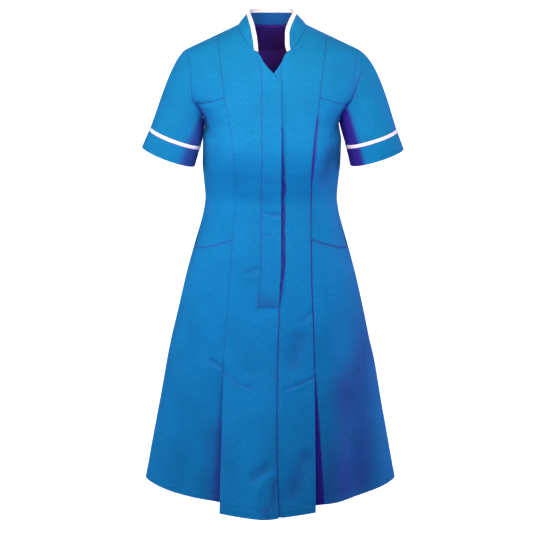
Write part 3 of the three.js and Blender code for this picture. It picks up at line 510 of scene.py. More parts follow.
def wall(name, points, normals, materials, thickness=CLOTH, ring=False, shade=None):
    """A closed shell: the grid, the same grid moved in by the thickness, and a rim."""
    rows, count = points.shape[:2]
    layer = rows * count
    index = np.arange(layer).reshape(rows, count)
    if ring:
        index = np.c_[index, index[:, :1]]
    i, j = rows // 2, count // 2
    j = min(j, count - 2)
    across_it, up_it = points[i - 1, j + 1] - points[i - 1, j], points[i, j] - points[i - 1, j]
    flip = np.cross(across_it, up_it) @ normals[i - 1, j] < 0
    outer = quads(index, flip)
    inner = quads(index, not flip) + layer
    edges = [(index[0], flip), (index[-1], not flip)]
    if not ring:
        edges += [(index[:, 0], not flip), (index[:, -1], flip)]
    rims = [quads(np.stack([edge + layer, edge]), turned) for edge, turned in edges]
    cells = np.concatenate([outer, inner, *rims])
    inner_cells = np.zeros(len(cells), int)
    inner_cells[len(outer) : len(outer) + len(inner)] = INSIDE
    both = np.concatenate([points.reshape(-1, 3), (points - thickness * normals).reshape(-1, 3)])
    uv = np.tile(grain(points).reshape(-1, 2), (2, 1))
    piece = new_mesh(name, both, cells, uv, inner_cells, materials)
    shown = np.zeros(layer) if shade is None else np.asarray(shade, float).ravel()
    values = piece.data.attributes.new("shade", "FLOAT", "POINT")
    values.data.foreach_set("value", np.tile(shown, 2).astype(np.float32))
    return piece


def shares(width, step, seams=(True, True)):
    """Shares across a panel of this width in each row: even steps, and finer ones, at fixed
    millimetres from the edge, beside a seam. Also the distance from the nearest seam in mm."""
    width = np.asarray(width, float)[:, None]
    fine = np.array([0, 0.7, 1.4, 2.2, 3.4])
    first = fine if seams[0] else np.array([0.0])
    last = fine if seams[1] else np.array([0.0])
    left, right = first / width, 1 - last[::-1] / width
    count = max(2, math.ceil(float(width.max()) / step))
    middle = np.linspace(0, 1, count + 1)[1:-1]
    inside = mix(left[:, -1:], right[:, :1], middle)
    t = np.hstack([left, inside, right])
    near = np.full(t.shape, 99.0)
    if seams[0]:
        near = np.minimum(near, t * width)
    if seams[1]:
        near = np.minimum(near, (1 - t) * width)
    return t, near


def seam_roll(near):
    """The cloth's turned edge rounds down 0.7 mm into its seam within about 1 mm."""
    return -0.7 * np.exp(-((near / 1.0) ** 2))


def stations_row(face, x0, z0, x1, z1, t):
    """x and z between two stations: by equal angles low down and equal widths at the shoulders."""
    x0, z0, x1, z1 = (np.asarray(v, float)[:, None] for v in (x0, z0, x1, z1))
    z = mix(z0, z1, t)
    angle = mix(angle_at(face, x0, z0), angle_at(face, x1, z1), t)
    x = mix(oval(face, angle, z)[..., 0], mix(x0, x1, t), ramp(-215, -150, z))
    return x, z


print("the finest step beside a seam is 0.7 mm")

# %% [markdown]
# ## Polycotton twill and white trim
# Nurses' dresses are sewn from polycotton twill, a two-to-one mix of polyester and cotton of
# about 200 g a square metre. Its face shows fine slanting ribs and a dry, faint sheen. We draw
# the ribs from the cloth's own UV. The inside and the deep gaps are painted shade: their colour
# turns to indigo where little light comes back out of a fold.

# %% Colours and nodes
def colour(hex_text):
    """An sRGB hex colour as linear red, green, blue and alpha."""
    parts = np.array([int(hex_text[i : i + 2], 16) for i in (1, 3, 5)]) / 255
    linear = np.where(parts <= 0.04045, parts / 12.92, ((parts + 0.055) / 1.055) ** 2.4)
    return (*linear.tolist(), 1.0)


def node(tree, kind, settings=None, **links):
    """Adds a node. A setting is an attribute or, if there is none, an input; a link gives an
    input's name, with _ for spaces, and the socket that feeds it."""
    made = tree.nodes.new(kind)
    for key, value in (settings or {}).items():
        if hasattr(made, str(key)):
            setattr(made, key, value)
        else:
            made.inputs[key].default_value = value
    for key, socket in links.items():
        at = made.inputs[int(key[1:])] if key[1:].isdigit() else made.inputs[key.replace("_", " ")]
        tree.links.new(socket, at)
    return made


def woven(name, face, deep, roughness, rib_mm, sheen, bump_mm, slant=True):
    """A woven cloth: ribs and cross yarns from the grain UV, a slow drift of colour, and painted
    shade, a deeper colour where the piece's shade attribute says so."""
    material = bpy.data.materials.new(name)
    material.use_nodes = True
    tree = material.node_tree
    tree.nodes.clear()
    uv = node(tree, "ShaderNodeUVMap", {"uv_map": "grain"})
    turn = (0, 0, math.radians(58 if slant else 0))
    ribs_at = node(tree, "ShaderNodeMapping", {"Rotation": turn}, Vector=uv.outputs[0])
    bands = 2 * math.pi / 20 / (rib_mm / 1000)
    ribs = node(tree, "ShaderNodeTexWave", {"Scale": bands, "Distortion": 0.6, "Detail": 1.0},
                Vector=ribs_at.outputs[0])
    yarn_scale = node(tree, "ShaderNodeMapping", {"Scale": (2600, 420, 1)}, Vector=uv.outputs[0])
    yarns = node(tree, "ShaderNodeTexNoise", {"Scale": 1.0, "Detail": 2.0},
                 Vector=yarn_scale.outputs[0])
    place = node(tree, "ShaderNodeTexCoord")
    drift = node(tree, "ShaderNodeTexNoise", {"Scale": 14.0, "Detail": 3.0},
                 Vector=place.outputs["Object"])
    shade = node(tree, "ShaderNodeAttribute", {"attribute_name": "shade"})
    # Painted shade: the colour mixes from the face colour towards the deep one by the shade attribute.
    base = node(tree, "ShaderNodeMix", {"data_type": "RGBA"}, _0=shade.outputs["Fac"])
    base.inputs[6].default_value = colour(face)
    base.inputs[7].default_value = colour(deep)
    lighter = node(tree, "ShaderNodeMapRange", {1: 0.3, 2: 0.7, 3: 0.93, 4: 1.07},
                   Value=drift.outputs["Fac"])
    slubs_at = node(tree, "ShaderNodeMapping", {"Scale": (330, 120, 1)}, Vector=uv.outputs[0])
    slubs = node(tree, "ShaderNodeTexNoise", {"Scale": 1.0, "Detail": 3.0, "Roughness": 0.6},
                 Vector=slubs_at.outputs[0])
    slubbed = node(tree, "ShaderNodeMapRange", {1: 0.3, 2: 0.7, 3: 0.87, 4: 1.13},
                   Value=slubs.outputs["Fac"])
    ribbed = node(tree, "ShaderNodeMapRange", {3: 0.95, 4: 1.05}, Value=ribs.outputs["Fac"])
    yarned = node(tree, "ShaderNodeMath", {"operation": "MULTIPLY"}, _0=slubbed.outputs[0],
                  _1=ribbed.outputs[0])
    value = node(tree, "ShaderNodeMath", {"operation": "MULTIPLY"}, _0=lighter.outputs[0],
                 _1=yarned.outputs[0])
    toned = node(tree, "ShaderNodeHueSaturation", {}, Color=base.outputs[2],
                 Value=value.outputs[0])
    height = node(tree, "ShaderNodeMath", {"operation": "ADD"}, _0=ribs.outputs["Fac"],
                  _1=yarns.outputs["Fac"])
    ease = node(tree, "ShaderNodeTexNoise", {"Scale": 38.0, "Detail": 4.0, "Roughness": 0.45},
                Vector=place.outputs["Object"])
    soft = node(tree, "ShaderNodeBump", {"Strength": 0.6, "Distance": 0.002},
                Height=ease.outputs["Fac"])
    bump = node(tree, "ShaderNodeBump", {"Strength": 0.5, "Distance": bump_mm / 1000},
                Height=height.outputs[0], Normal=soft.outputs[0])
    rough = node(tree, "ShaderNodeMapRange", {3: roughness - 0.05, 4: roughness + 0.05},
                 Value=yarns.outputs["Fac"])
    shader = node(tree, "ShaderNodeBsdfPrincipled",
                  {"Sheen Weight": sheen, "Sheen Roughness": 0.4, "IOR": 1.46,
                   "Specular IOR Level": 0.1, "Sheen Tint": colour("#b9a8ff")},
                  Base_Color=toned.outputs[0], Normal=bump.outputs[0], Roughness=rough.outputs[0])
    out = node(tree, "ShaderNodeOutputMaterial", {}, Surface=shader.outputs[0])
    out.is_active_output = True
    return material


# The second colour of each material is painted shade: the colour its cloth turns to where the shade attribute is 1.
TWILL = woven("polycotton twill, piece dyed", "#1082bb", "#322890", 0.8, 1.3, 0.04, 0.06)
# The collar's inner face is a darker, duller copy of the twill: painted shade.
SHADED_TWILL_NECK = woven("polycotton twill, inside the collar in painted shade", "#1a5ca8", "#2c2a86", 0.86, 1.3, 0.02, 0.06)
# Every blue wall's inner face is a violet copy of the twill: painted shade for the inside of the dress.
SHADED_TWILL_INSIDE = woven("polycotton twill, wrong side in painted shade", "#4c31b1", "#2c1866", 0.86, 1.3, 0.05, 0.06)
BRAID = woven("woven polyester braid", "#fcfdfd", "#a8aed0", 0.72, 0.9, 0.1, 0.05, slant=False)
THREAD = woven("polyester thread", "#1a6fb4", "#1b1f78", 0.6, 0.9, 0.1, 0.02, slant=False)
BLUE_CLOTH, WHITE_CLOTH = (TWILL, SHADED_TWILL_INSIDE), (BRAID, BRAID)
print("materials:", ", ".join(m.name for m in bpy.data.materials if m.users or True))

# %% [markdown]
# ## The centre fronts
# The wearer's right front laps over the left one. Both run in one piece from the neck to the
# hem and end at the princess seams, where the pleats open low down. The lap's edge is a row of
# grid points, so the V of the neck stays sharp.

# %% Finishing a piece
pieces = []


def finish(piece, node_name, flat, share=0.9):
    """The piece rides on the dress's one body and stands for its CAD node, which it hides.
    The size it was cut to, flat, in metres, is not used."""
    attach(piece, "root")
    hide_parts(node_name)
    pieces.append(piece)
    triangles = sum(len(p.vertices) - 2 for p in piece.data.polygons)
    print(piece.name, triangles, "triangles")


# %% Centre fronts
def over_x(row):
    """The overlapping front's edge: the lap line, then straight to the V and up the neckline."""
    return np.where(row <= 28, over_edge(centre_z(row)), neckline["over"](row))


def under_x(row):
    return np.where(row <= 28, under_edge(centre_z(row)), neckline["under"](row))


def front_edge(side, row):
    return over_x(row) if side == "right" else under_x(row)


SIGN = {"right": -1, "left": 1}


def centre_front(side, row, t, out=0.0):
    """The centre front between its edge and its princess seam, a share t of the way across."""
    seam_x = princess[side](princess_z(row)) - SIGN[side] * HALF_GAP
    x, z = stations_row("front", front_edge(side, row), centre_z(row), seam_x, princess_z(row), t)
    forward = centre_lift(x, z)
    if side == "left":
        forward = forward + lap_sink(x, z)
    point, normal = cloth("front", x, z, forward, relief(FRONT_FOLDS, x + sway(z), z) + out)
    return point, normal, x, z


def hem_roll(z):
    """A stitched hem: a 0.5 mm trough along its stitches, 19 mm above the edge."""
    return -0.5 * np.exp(-(((z - HEM - 19) / 1.6) ** 2)) + 0.35 * ramp(HEM + 20, HEM + 17, z)


# height, how strong the princess seam's dark line is: the seam itself and painted shade in it
PRINCESS_SHADE = {
    "right": column([(HEM, 0.12), (-600, 0.12), (-400, 0.05), (-150, 0.22), (0, 0.25)], 1),
    "left": column([(HEM, 0.95), (-600, 0.95), (-330, 0.9), (-260, 0.5), (-150, 0.4), (0, 0.35)], 1),
}
# height, x at which the painted shadow of the placket's gap ends
GAP_EDGE = column([
    (-592, 18), (-572, 21.5), (-539, 24.5), (-520, 27), (-495, 28.8), (-470, 28.3), (-442, 28.6),
    (-425, 26.5), (-400, 28.5), (-385, 27.5), (-366, 25.5), (-350, 29), (-337, 30.5), (-322, 28.5),
    (-314, 26), (-305, 27.5), (-285, 25.5), (-253, 23), (-225, 22), (-211, 23.5), (-198, 18),
], 1)


def gap_shade(x, z):
    """The painted shadow in the gap beside the placket's free edge, wavy as it gapes between the hidden
    buttons, and the thin dark line of the lapped seam below the placket, the seam and painted shade together."""
    edge = GAP_EDGE(z)
    uneven = 0.84 + 0.16 * np.sin(z / 7 + 2 * np.sin(z / 31)) * np.sin(x / 1.9 + z / 23)
    gap = uneven * ramp(edge + 1.6, edge - 1.2, x) * ramp(-600, -588, z) * ramp(-192, -204, z)
    line = seam_line(x - over_edge(z) - sway(z) - 1, 0.95, 2.0) * ramp(-585, -600, z)
    upper = seam_line(x - over_edge(z) - sway(z) - BAND_OVERHANG, 0.35, 1.6) * ramp(-205, -190, z)
    return np.maximum(gap, np.maximum(line, upper))


FRONT_STEP = 3
for side in ("right", "left"):
    row = fine_rows(0, TOP_ROW, FRONT_STEP)
    width = abs(princess[side](princess_z(row)) - front_edge(side, row))
    t, near = shares(width, FRONT_STEP, seams=(False, True))
    pleat_edge = princess_z(row)[:, None] < PLEAT_TOP
    out = np.where(pleat_edge, 0.35, 1.0) * seam_roll(near)
    _, _, _, z = centre_front(side, row, t)
    point, normal, x, z = centre_front(side, row, t, out + hem_roll(z))
    # Painted shade: the princess seam's dark line above the pleats, the placket's gap on the left front or a dark line
    # beside the band on the right, the hem's stitch line and the folds' shade.
    seam = seam_line(near, PRINCESS_SHADE[side](z)) * ramp(PLEAT_TOP - 8, PLEAT_TOP, z)
    lap = gap_shade(x + sway(z), z) if side == "left" else seam_line(x - band_side(z), 0.35, 1.6) * (z > BAND_FOOT)
    shade = shade_at(x, z, seam, lap, seam_line(z - HEM - 19, 0.22))
    piece = wall(f"centre_front_{side}", point, normal, BLUE_CLOTH, shade=shade)
    flat = (0.14, 1.08) if side == "right" else (0.125, 1.08)
    finish(piece, f"front_centre_{side}", flat, 0.8)

# %% [markdown]
# ## The placket band
# A stitched band hides the buttons. It lies 0.3 mm off the front that it is sewn to, and its
# free edge hangs 6 mm past the lap, which throws a shadow beside it, deepened by a painted shadow on the front
# beneath.

# %% Placket band
BAND_RISE, BAND_LIFT, BAND_THICKNESS = 1.7, 0.6, 1.4
BAND_FOLDS = []


def band(row, t, out=0.0):
    """From the stitched side to the free edge: the front's own surface, 1.7 mm out, and a
    little farther at the edge, which overhangs by 1 mm at the foot and 6 mm from z -500 up."""
    x_side = np.where(row > 30, mix(-27, -34, row - 30), band_side(centre_z(row)))
    x_edge = over_x(row)
    hang = np.where(row >= V_ROW - 1, HALF_GAP, mix(1, BAND_OVERHANG, ramp(BAND_FOOT, -500, centre_z(row))))
    seam_x = princess["right"](princess_z(row))
    slope = (princess_z(row) - centre_z(row)) / (seam_x - x_edge)
    x = mix(x_side[:, None], (x_edge + hang)[:, None], t)
    z = centre_z(row)[:, None] + slope[:, None] * (x - x_edge[:, None])
    lift = BAND_RISE + BAND_LIFT * ramp(x_edge[:, None], (x_edge + hang + 0.01)[:, None], x)
    folds = relief(FRONT_FOLDS, x + sway(z), z) + relief(BAND_FOLDS, x + sway(z), z)
    point, normal = cloth("front", x, z, centre_lift(x, z), lift + folds + out)
    return point, normal, x, z


row = fine_rows(BAND_FOOT_ROW, 30.6, 3)
t, near = shares(np.full(len(row), 40.0), 3, seams=(True, True))
near = np.minimum(near, 99)
stitched = np.where(t < 0.5, seam_roll(near), 0.3 * seam_roll(near))
point, normal, x, z = band(row, t, stitched)
# Painted shade in the hollow at the band's foot, and dark lines along its foot and its stitched side, the seams with
# painted shade in them.
foot = 0.2 * ramp(-566, -584, z + 0.3 * (x + sway(z))) + seam_line(z - BAND_FOOT - 1, 0.4)
side_line = seam_line(t * 40, 0.45, 1.6)
piece = wall("placket", point, normal, BLUE_CLOTH, thickness=BAND_THICKNESS,
             shade=shade_at(x, z, foot, side_line))
finish(piece, "placket_band", (0.044, 0.56), 0.95)

# %% [markdown]
# ## The side fronts
# A seam over the bust and a slant pocket mouth divide each side front. The piece between them
# dips behind the skirt at the mouth and runs on inside as the pocket's back.

# %% Side fronts
BAG_FIRST_ROW, BAG_INSET, BAG_SIDE_INSET, BAG_BEHIND = 8, 12, 26, 3.2


def side_x(face, row):
    """Half the width at the side: the whole section below the armpit, the armhole above it."""
    z = side_z(row)
    return np.where(row <= ARMPIT_ROW, half_width(z), armhole[face](z) - HALF_GAP)


def mouth_z(side, x):
    """The pocket mouth's height: a line from the princess seam, at -453, to the side, at -488."""
    inner, outer = princess_z(POCKET_ROW), side_z(POCKET_ROW)
    start, end = abs(princess[side](inner)), half_width(outer)
    return mix(inner, outer, np.clip((abs(x) - start) / (end - start), 0, 1))


def side_front(side, row, t, part="upper", out=0.0, raised=0.0):
    """The side front between its princess seam and its side seam or armhole. The upper part's
    dip behind the pocket's mouth is an S-curve over the last 60 mm above it."""
    sign = SIGN[side]
    in_bag = np.clip(POCKET_ROW - row, 0, 1) if part == "upper" else 0 * row
    seam_x = princess[side](princess_z(row)) + sign * mix(HALF_GAP, BAG_INSET, in_bag)
    outer_x = sign * (side_x("front", row) - BAG_SIDE_INSET * in_bag)
    x, z = stations_row("front", seam_x, princess_z(row) + raised, outer_x, side_z(row) + raised, t)
    dip = -BAG_BEHIND * ramp(60, 0, z - mouth_z(side, x)) if part == "upper" else 0.0
    folds = relief(FRONT_FOLDS, x + sway(z), z)
    point, normal = cloth("front", x, z, side_lift(side, x, z), dip + folds + out)
    return point, normal, x, z


def near_row(face_z, edge_z):
    """How far a grid's points lie from a seam that runs across it, in mm."""
    return abs(face_z - edge_z)


def pleat_shade(side, x, z):
    """The shadow beside a pleat's edge: on the wearer's left a sharp dark strip that widens from
    nothing to 20 mm at the hem, on the right a soft one that fades over 18 mm."""
    away = abs(x) - abs(princess[side](z))
    if side == "left":
        wide = 20 * opening(z) ** 0.8
        return ramp(wide + 1.5, wide - 1.5, away) * ramp(PLEAT_TOP + 3, PLEAT_TOP - 6, z)
    return 0.75 * opening(z) ** 0.6 * np.exp(-((away / (5 + 13 * opening(z))) ** 2))


PARTS = {
    "yoke": (BUST_ROW, TOP_ROW, "upper", (0.115, 0.15), 0.75),
    "front": (BAG_FIRST_ROW, BUST_ROW, "upper", (0.13, 0.52), 0.85),
    "skirt": (0, POCKET_ROW, "lower", (0.26, 0.62), 0.73),
}
for side in ("right", "left"):
    for name, (first, last, part, flat, share) in PARTS.items():
        row = fine_rows(first, last, FRONT_STEP, close_to=(BUST_ROW, POCKET_ROW))
        raised = np.where(row == BUST_ROW, HALF_GAP if name == "yoke" else -HALF_GAP, 0.0)
        width = 1.12 * abs(side_x("front", row) - abs(princess[side](princess_z(row))))
        t, near = shares(width, FRONT_STEP)
        point, normal, x, z = side_front(side, row, t, part, raised=raised)
        if name != "skirt":
            near = np.minimum(near, near_row(z, z[np.argmin(abs(row - BUST_ROW))]))
        else:
            near = np.minimum(near, 1.4 * near_row(z, z[-1]))
            near = np.where(z < PLEAT_TOP, np.maximum(near, 9 * (t < 0.5)), near)
        out = seam_roll(near) + (hem_roll(z) if name == "skirt" else 0)
        point, normal, x, z = side_front(side, row, t, part, out, raised)
        # Painted shade: the princess seam's line above the pleats, the pocket mouth's dark line, the bust seam's line,
        # and on the skirt the shadow beside the pleat and the hem's stitch line.
        seam = seam_line(t * width[:, None], PRINCESS_SHADE[side](z))
        mouth = seam_line(z - mouth_z(side, x), 0.75 if side == "left" else 0.5, 2.2)
        bust_line = seam_line(z - z[np.argmin(abs(row - BUST_ROW))], 0.3) if name != "skirt" else 0
        shade = shade_at(x, z, seam * (z > PLEAT_TOP), mouth, bust_line)
        if name == "skirt":
            shade = shade_at(x, z, seam * (z > PLEAT_TOP), mouth, pleat_shade(side, x, z),
                             seam_line(z - HEM - 19, 0.22))
        piece = wall(f"{name}_{side}", point, normal, BLUE_CLOTH, shade=shade)
        finish(piece, f"side_{name}_{side}", flat, share)

# %% [markdown]
# ## The back
# Nothing of the back shows in the photograph, so it stays one plain panel from side seam to
# side seam, with the soft flutes that a flared skirt hangs in.

# %% Back
NECK_ANGLE = math.radians(38)


def flutes(x, z):
    """Soft flutes in the back skirt: 3 mm waves across it that grow from the hip to the hem and
    die out at the side seams."""
    inland = ramp(0.97, 0.75, abs(x) / half_width(z))
    return 3 * inland * ramp(-600, HEM, z) * np.cos(x / 29 + 0.6 * np.sin(x / 70))


def back_panel(row, t, out=0.0):
    """The back, by a share t from -1 at the right side to 1 at the left: from the centre to
    a station under the neck's side, and on to the side seam or armhole."""
    low_x = oval("back", NECK_ANGLE, neck_z(row))[:, 0]
    neck_x = mix(low_x, NECK_HALF_WIDTH, ramp(-215, -150, neck_z(row)))
    at_neck = 0.375
    inner = np.clip(abs(t) / at_neck, 0, 1)
    outer = np.clip((abs(t) - at_neck) / (1 - at_neck), 0, 1)
    x_in, z_in = stations_row("back", 0 * row + 0.001, back_z(row), neck_x, neck_z(row), inner)
    x_out, z_out = stations_row("back", neck_x, neck_z(row), side_x("back", row), side_z(row), outer)
    x = np.where(abs(t) < at_neck, x_in, x_out) * np.where(t < 0, -1, 1)
    z = np.where(abs(t) < at_neck, z_in, z_out)
    folds = relief(BACK_FOLDS, x + sway(z), z) + flutes(x, z)
    point, normal = cloth("back", x, z, 0.0, folds + out)
    return point, normal, x, z


BACK_STEP = 6
row = fine_rows(0, TOP_ROW, BACK_STEP)
fine = np.array([0, 0.003, 0.007, 0.012, 0.02])
half = np.r_[np.linspace(0, 1, 75)[:-2], 1 - fine[::-1]]
t = np.broadcast_to(np.r_[-half[::-1], half[1:]], (len(row), 2 * len(half) - 1))
near = 300 * (1 - abs(t))
_, _, x, z = back_panel(row, t)
point, normal, x, z = back_panel(row, t, seam_roll(near) + hem_roll(z))
piece = wall("back_panel", point, normal, BLUE_CLOTH)
finish(piece, "back", (0.78, 1.07), 0.65)

# %% Facing inside the back of the neck
FACING_BEHIND, FACING_THICKNESS = 1.8, 1.0
row = np.linspace(V_ROW + 0.61, TOP_ROW - 2, 22)
t = np.broadcast_to(np.linspace(-0.36, 0.36, 31), (len(row), 31))
point, normal, x, z = back_panel(row, t, -FACING_BEHIND)
# The facing is painted in shade all over, at 0.7, on the violet painted-shade copy of the twill.
piece = wall("neck_facing", point, normal, (SHADED_TWILL_INSIDE, SHADED_TWILL_INSIDE), FACING_THICKNESS,
             shade=0.7 + 0 * z)
finish(piece, "back_neck_facing", (0.165, 0.075), 0.8)

# %% [markdown]
# ## The pleats
# Behind each pleat a folded underlay joins the centre front to the side skirt. Its section goes
# in 60 mm behind the centre, turns on a small half circle and comes back out.

# %% Pleat underlays
FOLD_WIDTH, FOLD_HEIGHT, FOLD_ROUND, UNDERLAY_CLEAR = 60, 4.5, 2.5, 0.6


def underlay(side, share, k):
    """share runs up from the hem and k across: 0 to 1 inwards behind the centre front, 1 to 2
    round the fold, 2 to 3 back out to the side skirt's edge."""
    sign = -SIGN[side]
    inward = np.clip(k, 0.02, 1) * np.clip(3 - k, 0.005, 1)
    top = PLEAT_TOP - 6 - 26 * inward
    z = mix(HEM + 1, top, share)
    seam_x = princess[side](z)
    inner = seam_x + sign * FOLD_WIDTH
    fold_top = centre_lift(inner, z) - CLOTH - UNDERLAY_CLEAR
    turn = math.pi * np.clip(k - 1, 0, 1)
    x = mix(seam_x, inner, inward) + sign * FOLD_ROUND * np.sin(turn)
    going_in = centre_lift(x, z) - CLOTH - UNDERLAY_CLEAR
    turning = fold_top - FOLD_HEIGHT / 2 * (1 - np.cos(turn))
    coming_out = mix(side_lift(side, seam_x, z), fold_top - FOLD_HEIGHT, inward)
    rise = np.select([k <= 1, k <= 2], [going_in, turning], coming_out)
    return cloth("front", x, z, rise, relief(FRONT_FOLDS, x + sway(z), z))[0]


for side in ("right", "left"):
    k = np.r_[np.linspace(0, 1, 16), np.linspace(1, 2, 9)[1:], np.linspace(2, 3, 16)[1:]]
    share = np.linspace(0, 1, 70)
    k, share = np.meshgrid(k, share)
    point = underlay(side, share, k)
    step_up, step_in = np.gradient(point, axis=0), np.gradient(point, axis=1)
    normal = unit(np.cross(step_up, step_in)) * SIGN[side]
    # The underlay is painted half in shade all over, as it lies behind the pleat.
    piece = wall(f"pleat_{side}", point, normal, (TWILL, TWILL), thickness=1.0, shade=0.5 + 0 * k)
    finish(piece, f"pleat_underlay_{side}", (0.15, 0.31), 0.93)

# %% [markdown]
# ## Seam allowances
# Inside every seam the maker leaves about 10 mm of cloth, pressed flat. Two of them matter to
# the eye: the one behind the side seam, which stops light from passing through it, and the one
# that joins the centre front to the side front just above the pleat, where they part in depth.

# %% Seam allowances
ALLOWANCE, ALLOWANCE_CLEAR, ALLOWANCE_THICKNESS = 7, 0.35, 0.6
STRIP_TOP, STRIP_FOOT, SIDE_STRIP_TOP = -460, PLEAT_TOP - 5.5, -515


def declare_allowance(piece):
    """Rides a narrow strip of the same cloth, sewn along another piece, on the dress's one body."""
    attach(piece, "root")


def side_allowance(side, z, y):
    """Just inside the side seam: x where the section reaches this y, less the cloth."""
    shape = {"front": y < 0, "back": y >= 0}
    deep = np.select(list(shape.values()), [depth[face](z) for face in shape])
    power = np.select(list(shape.values()), [square[face](z) for face in shape])
    x = half_width(z) * (1 - (abs(y) / deep) ** power) ** (1 / power)
    x = x - 1.25 * CLOTH - ALLOWANCE_CLEAR
    x = x + np.minimum(relief(FRONT_FOLDS, SIGN[side] * x + sway(z), z), 0)
    return np.stack(np.broadcast_arrays(SIGN[side] * x + sway(z), y, z), -1)


for side in ("right", "left"):
    z, y = np.meshgrid(np.linspace(HEM + 1, SIDE_STRIP_TOP, 120), np.linspace(-ALLOWANCE, ALLOWANCE, 9), indexing="ij")
    point = side_allowance(side, z, y)
    step_up, step_in = np.gradient(point, axis=0), np.gradient(point, axis=1)
    normal = unit(np.cross(step_up, step_in))
    normal *= np.sign(normal[..., :1] * SIGN[side])
    # Painted shade at 0.5 all over, on the violet painted-shade copy of the twill.
    piece = wall(f"side_allowance_{side}", point, normal, (SHADED_TWILL_INSIDE, SHADED_TWILL_INSIDE),
                 thickness=ALLOWANCE_THICKNESS, shade=0.5 + 0 * z)
    declare_allowance(piece)

    z, u = np.meshgrid(np.linspace(STRIP_FOOT, STRIP_TOP, 90), np.linspace(-1, 1, 25), indexing="ij")
    x = princess[side](z) + SIGN[side] * 5 * u ** 3
    rise = mix(centre_lift(x, z), side_lift(side, x, z), ramp(-0.5, 0.5, u))
    if side == "left":
        rise = rise + lap_sink(x, z)
    point, _ = cloth("front", x, z, rise - CLOTH - ALLOWANCE_CLEAR, relief(FRONT_FOLDS, x + sway(z), z))
    step_up, step_in = np.gradient(point, axis=0), np.gradient(point, axis=1)
    normal = unit(np.cross(step_up, step_in)) * -SIGN[side]
    # Painted shade at 0.8 all over.
    piece = wall(f"pleat_allowance_{side}", point, normal, (TWILL, TWILL),
                 thickness=ALLOWANCE_THICKNESS, shade=0.8 + 0 * z)
    declare_allowance(piece)

    z, u = np.meshgrid(np.linspace(HEM + 1, STRIP_FOOT - 1, 90), np.linspace(-1, 1, 11), indexing="ij")
    seam_x = princess[side](z)
    x = seam_x + SIGN[side] * 5 * u
    rise = side_lift(side, np.where(u < 0, seam_x, x), z) - CLOTH - ALLOWANCE_CLEAR
    point, normal = cloth("front", x, z, rise, relief(FRONT_FOLDS, x + sway(z), z))
    # Painted shade at 0.8 all over.
    piece = wall(f"underlay_allowance_{side}", point, normal, (TWILL, TWILL),
                 thickness=ALLOWANCE_THICKNESS, shade=0.8 + 0 * z)
    declare_allowance(piece)
print("allowances:", 2 * ALLOWANCE, "mm wide")

# %% [markdown]
# ## The sleeves
# A short sleeve is a tube whose top is cut to the armhole and whose hem is an oval. Each ring
# of the grid keeps every armhole point's share of the way round, and the rings follow smooth
# curves that leave the armhole square to its seam and arrive along the arm.

# %% Armhole and rings
# hem's middle x and z, half its width and depth, lean in degrees, fullness of the cap
SLEEVES = {"right": (228.6, -287.3, 61.8, 58, 20.6, 0.5), "left": (231.3, -289, 61.5, 58, 17.5, 0.7)}
CUFF_DEPTH, SLEEVE_TRIM, TRIM_RISE = 40, 8, 0.5
CLEAR = SEAM_GAP + HALF_GAP
SEAM_SETBACK = 1 / 6


def edge_station(point, inside, normal, height):
    """A sleeve's start beside one point of the armhole: low down the seam folds it round, by
    80 degrees one row above the armpit and 30 two rows above."""
    along = unit(point - inside)
    angle = np.radians(np.interp(height, [1, 2, 3], [80, 30, 0]))[:, None]
    leave = along * np.cos(angle) + normal * np.sin(angle)
    turned = normal * np.cos(angle) - along * np.sin(angle)
    start = point + along * CLEAR + normal * np.where(angle > 0, CLEAR, 0)
    return start, turned, leave


def armhole_loop(side):
    """The armhole from the shoulder down the front, under the arm and up the back: points,
    directions out of the cloth, directions of leaving and heights above the armpit in rows."""
    row = np.r_[np.linspace(ARMPIT_ROW + 0.25, TOP_ROW, 52)]
    sign = SIGN[side]
    t = np.broadcast_to([1 - SEAM_SETBACK, 1.0], (len(row), 2))
    front, normal_f, _, _ = side_front(side, row, t)
    t = np.broadcast_to([sign * (1 - 0.625 / 5), sign * 1.0], (len(row), 2))
    back, normal_b, _, _ = back_panel(row, t)
    height = row - ARMPIT_ROW
    front = edge_station(front[:, 1], front[:, 0], normal_f[:, 1], height)
    back = edge_station(back[:, 1], back[:, 0], normal_b[:, 1], height)
    low = np.clip(height, 0, 1)[:, None]
    armpit = np.array([sign * (half_width(-212.0) + 0.5), 0, -211.5])
    down = unit(np.array([0.05 * sign, 0, -1]))
    inward = np.array([-sign, 0, 0])
    loops = []
    for i, lowest in enumerate((armpit, inward, down)):
        up_front, up_back = front[i], back[i]
        if i:
            up_front, up_back = mix(lowest, up_front, low), mix(lowest, up_back, low)
        loops.append(np.concatenate([up_front[::-1], lowest[None], up_back[:-1]]))
    heights = np.concatenate([height[::-1], [0], height[:-1]])
    return loops[0], unit(loops[1]), unit(loops[2]), heights


def sleeve_ring(side, turn, from_hem, wider=0.0, ripple=0.0):
    """An oval round the arm, from_hem mm above the cuff's edge: half the width times
    cos(turn) across and half the depth times sin(turn) in front. It narrows upwards."""
    hem_x, hem_z, wide, deep, lean, _ = SLEEVES[side]
    sign, lean = SIGN[side], math.radians(lean)
    out = np.array([sign * math.cos(lean), 0, math.sin(lean)])
    down = np.array([sign * math.sin(lean), 0, -math.cos(lean)])
    narrow = 1 - 0.0011 * from_hem
    middle = np.array([sign * hem_x, 0, hem_z]) - down * from_hem
    across_it = ((wide + wider + ripple) * narrow * np.cos(turn))[..., None] * out
    front = ((deep + wider + ripple) * narrow * np.sin(turn))[..., None] * np.array([0, -1, 0])
    return middle + across_it + front, down


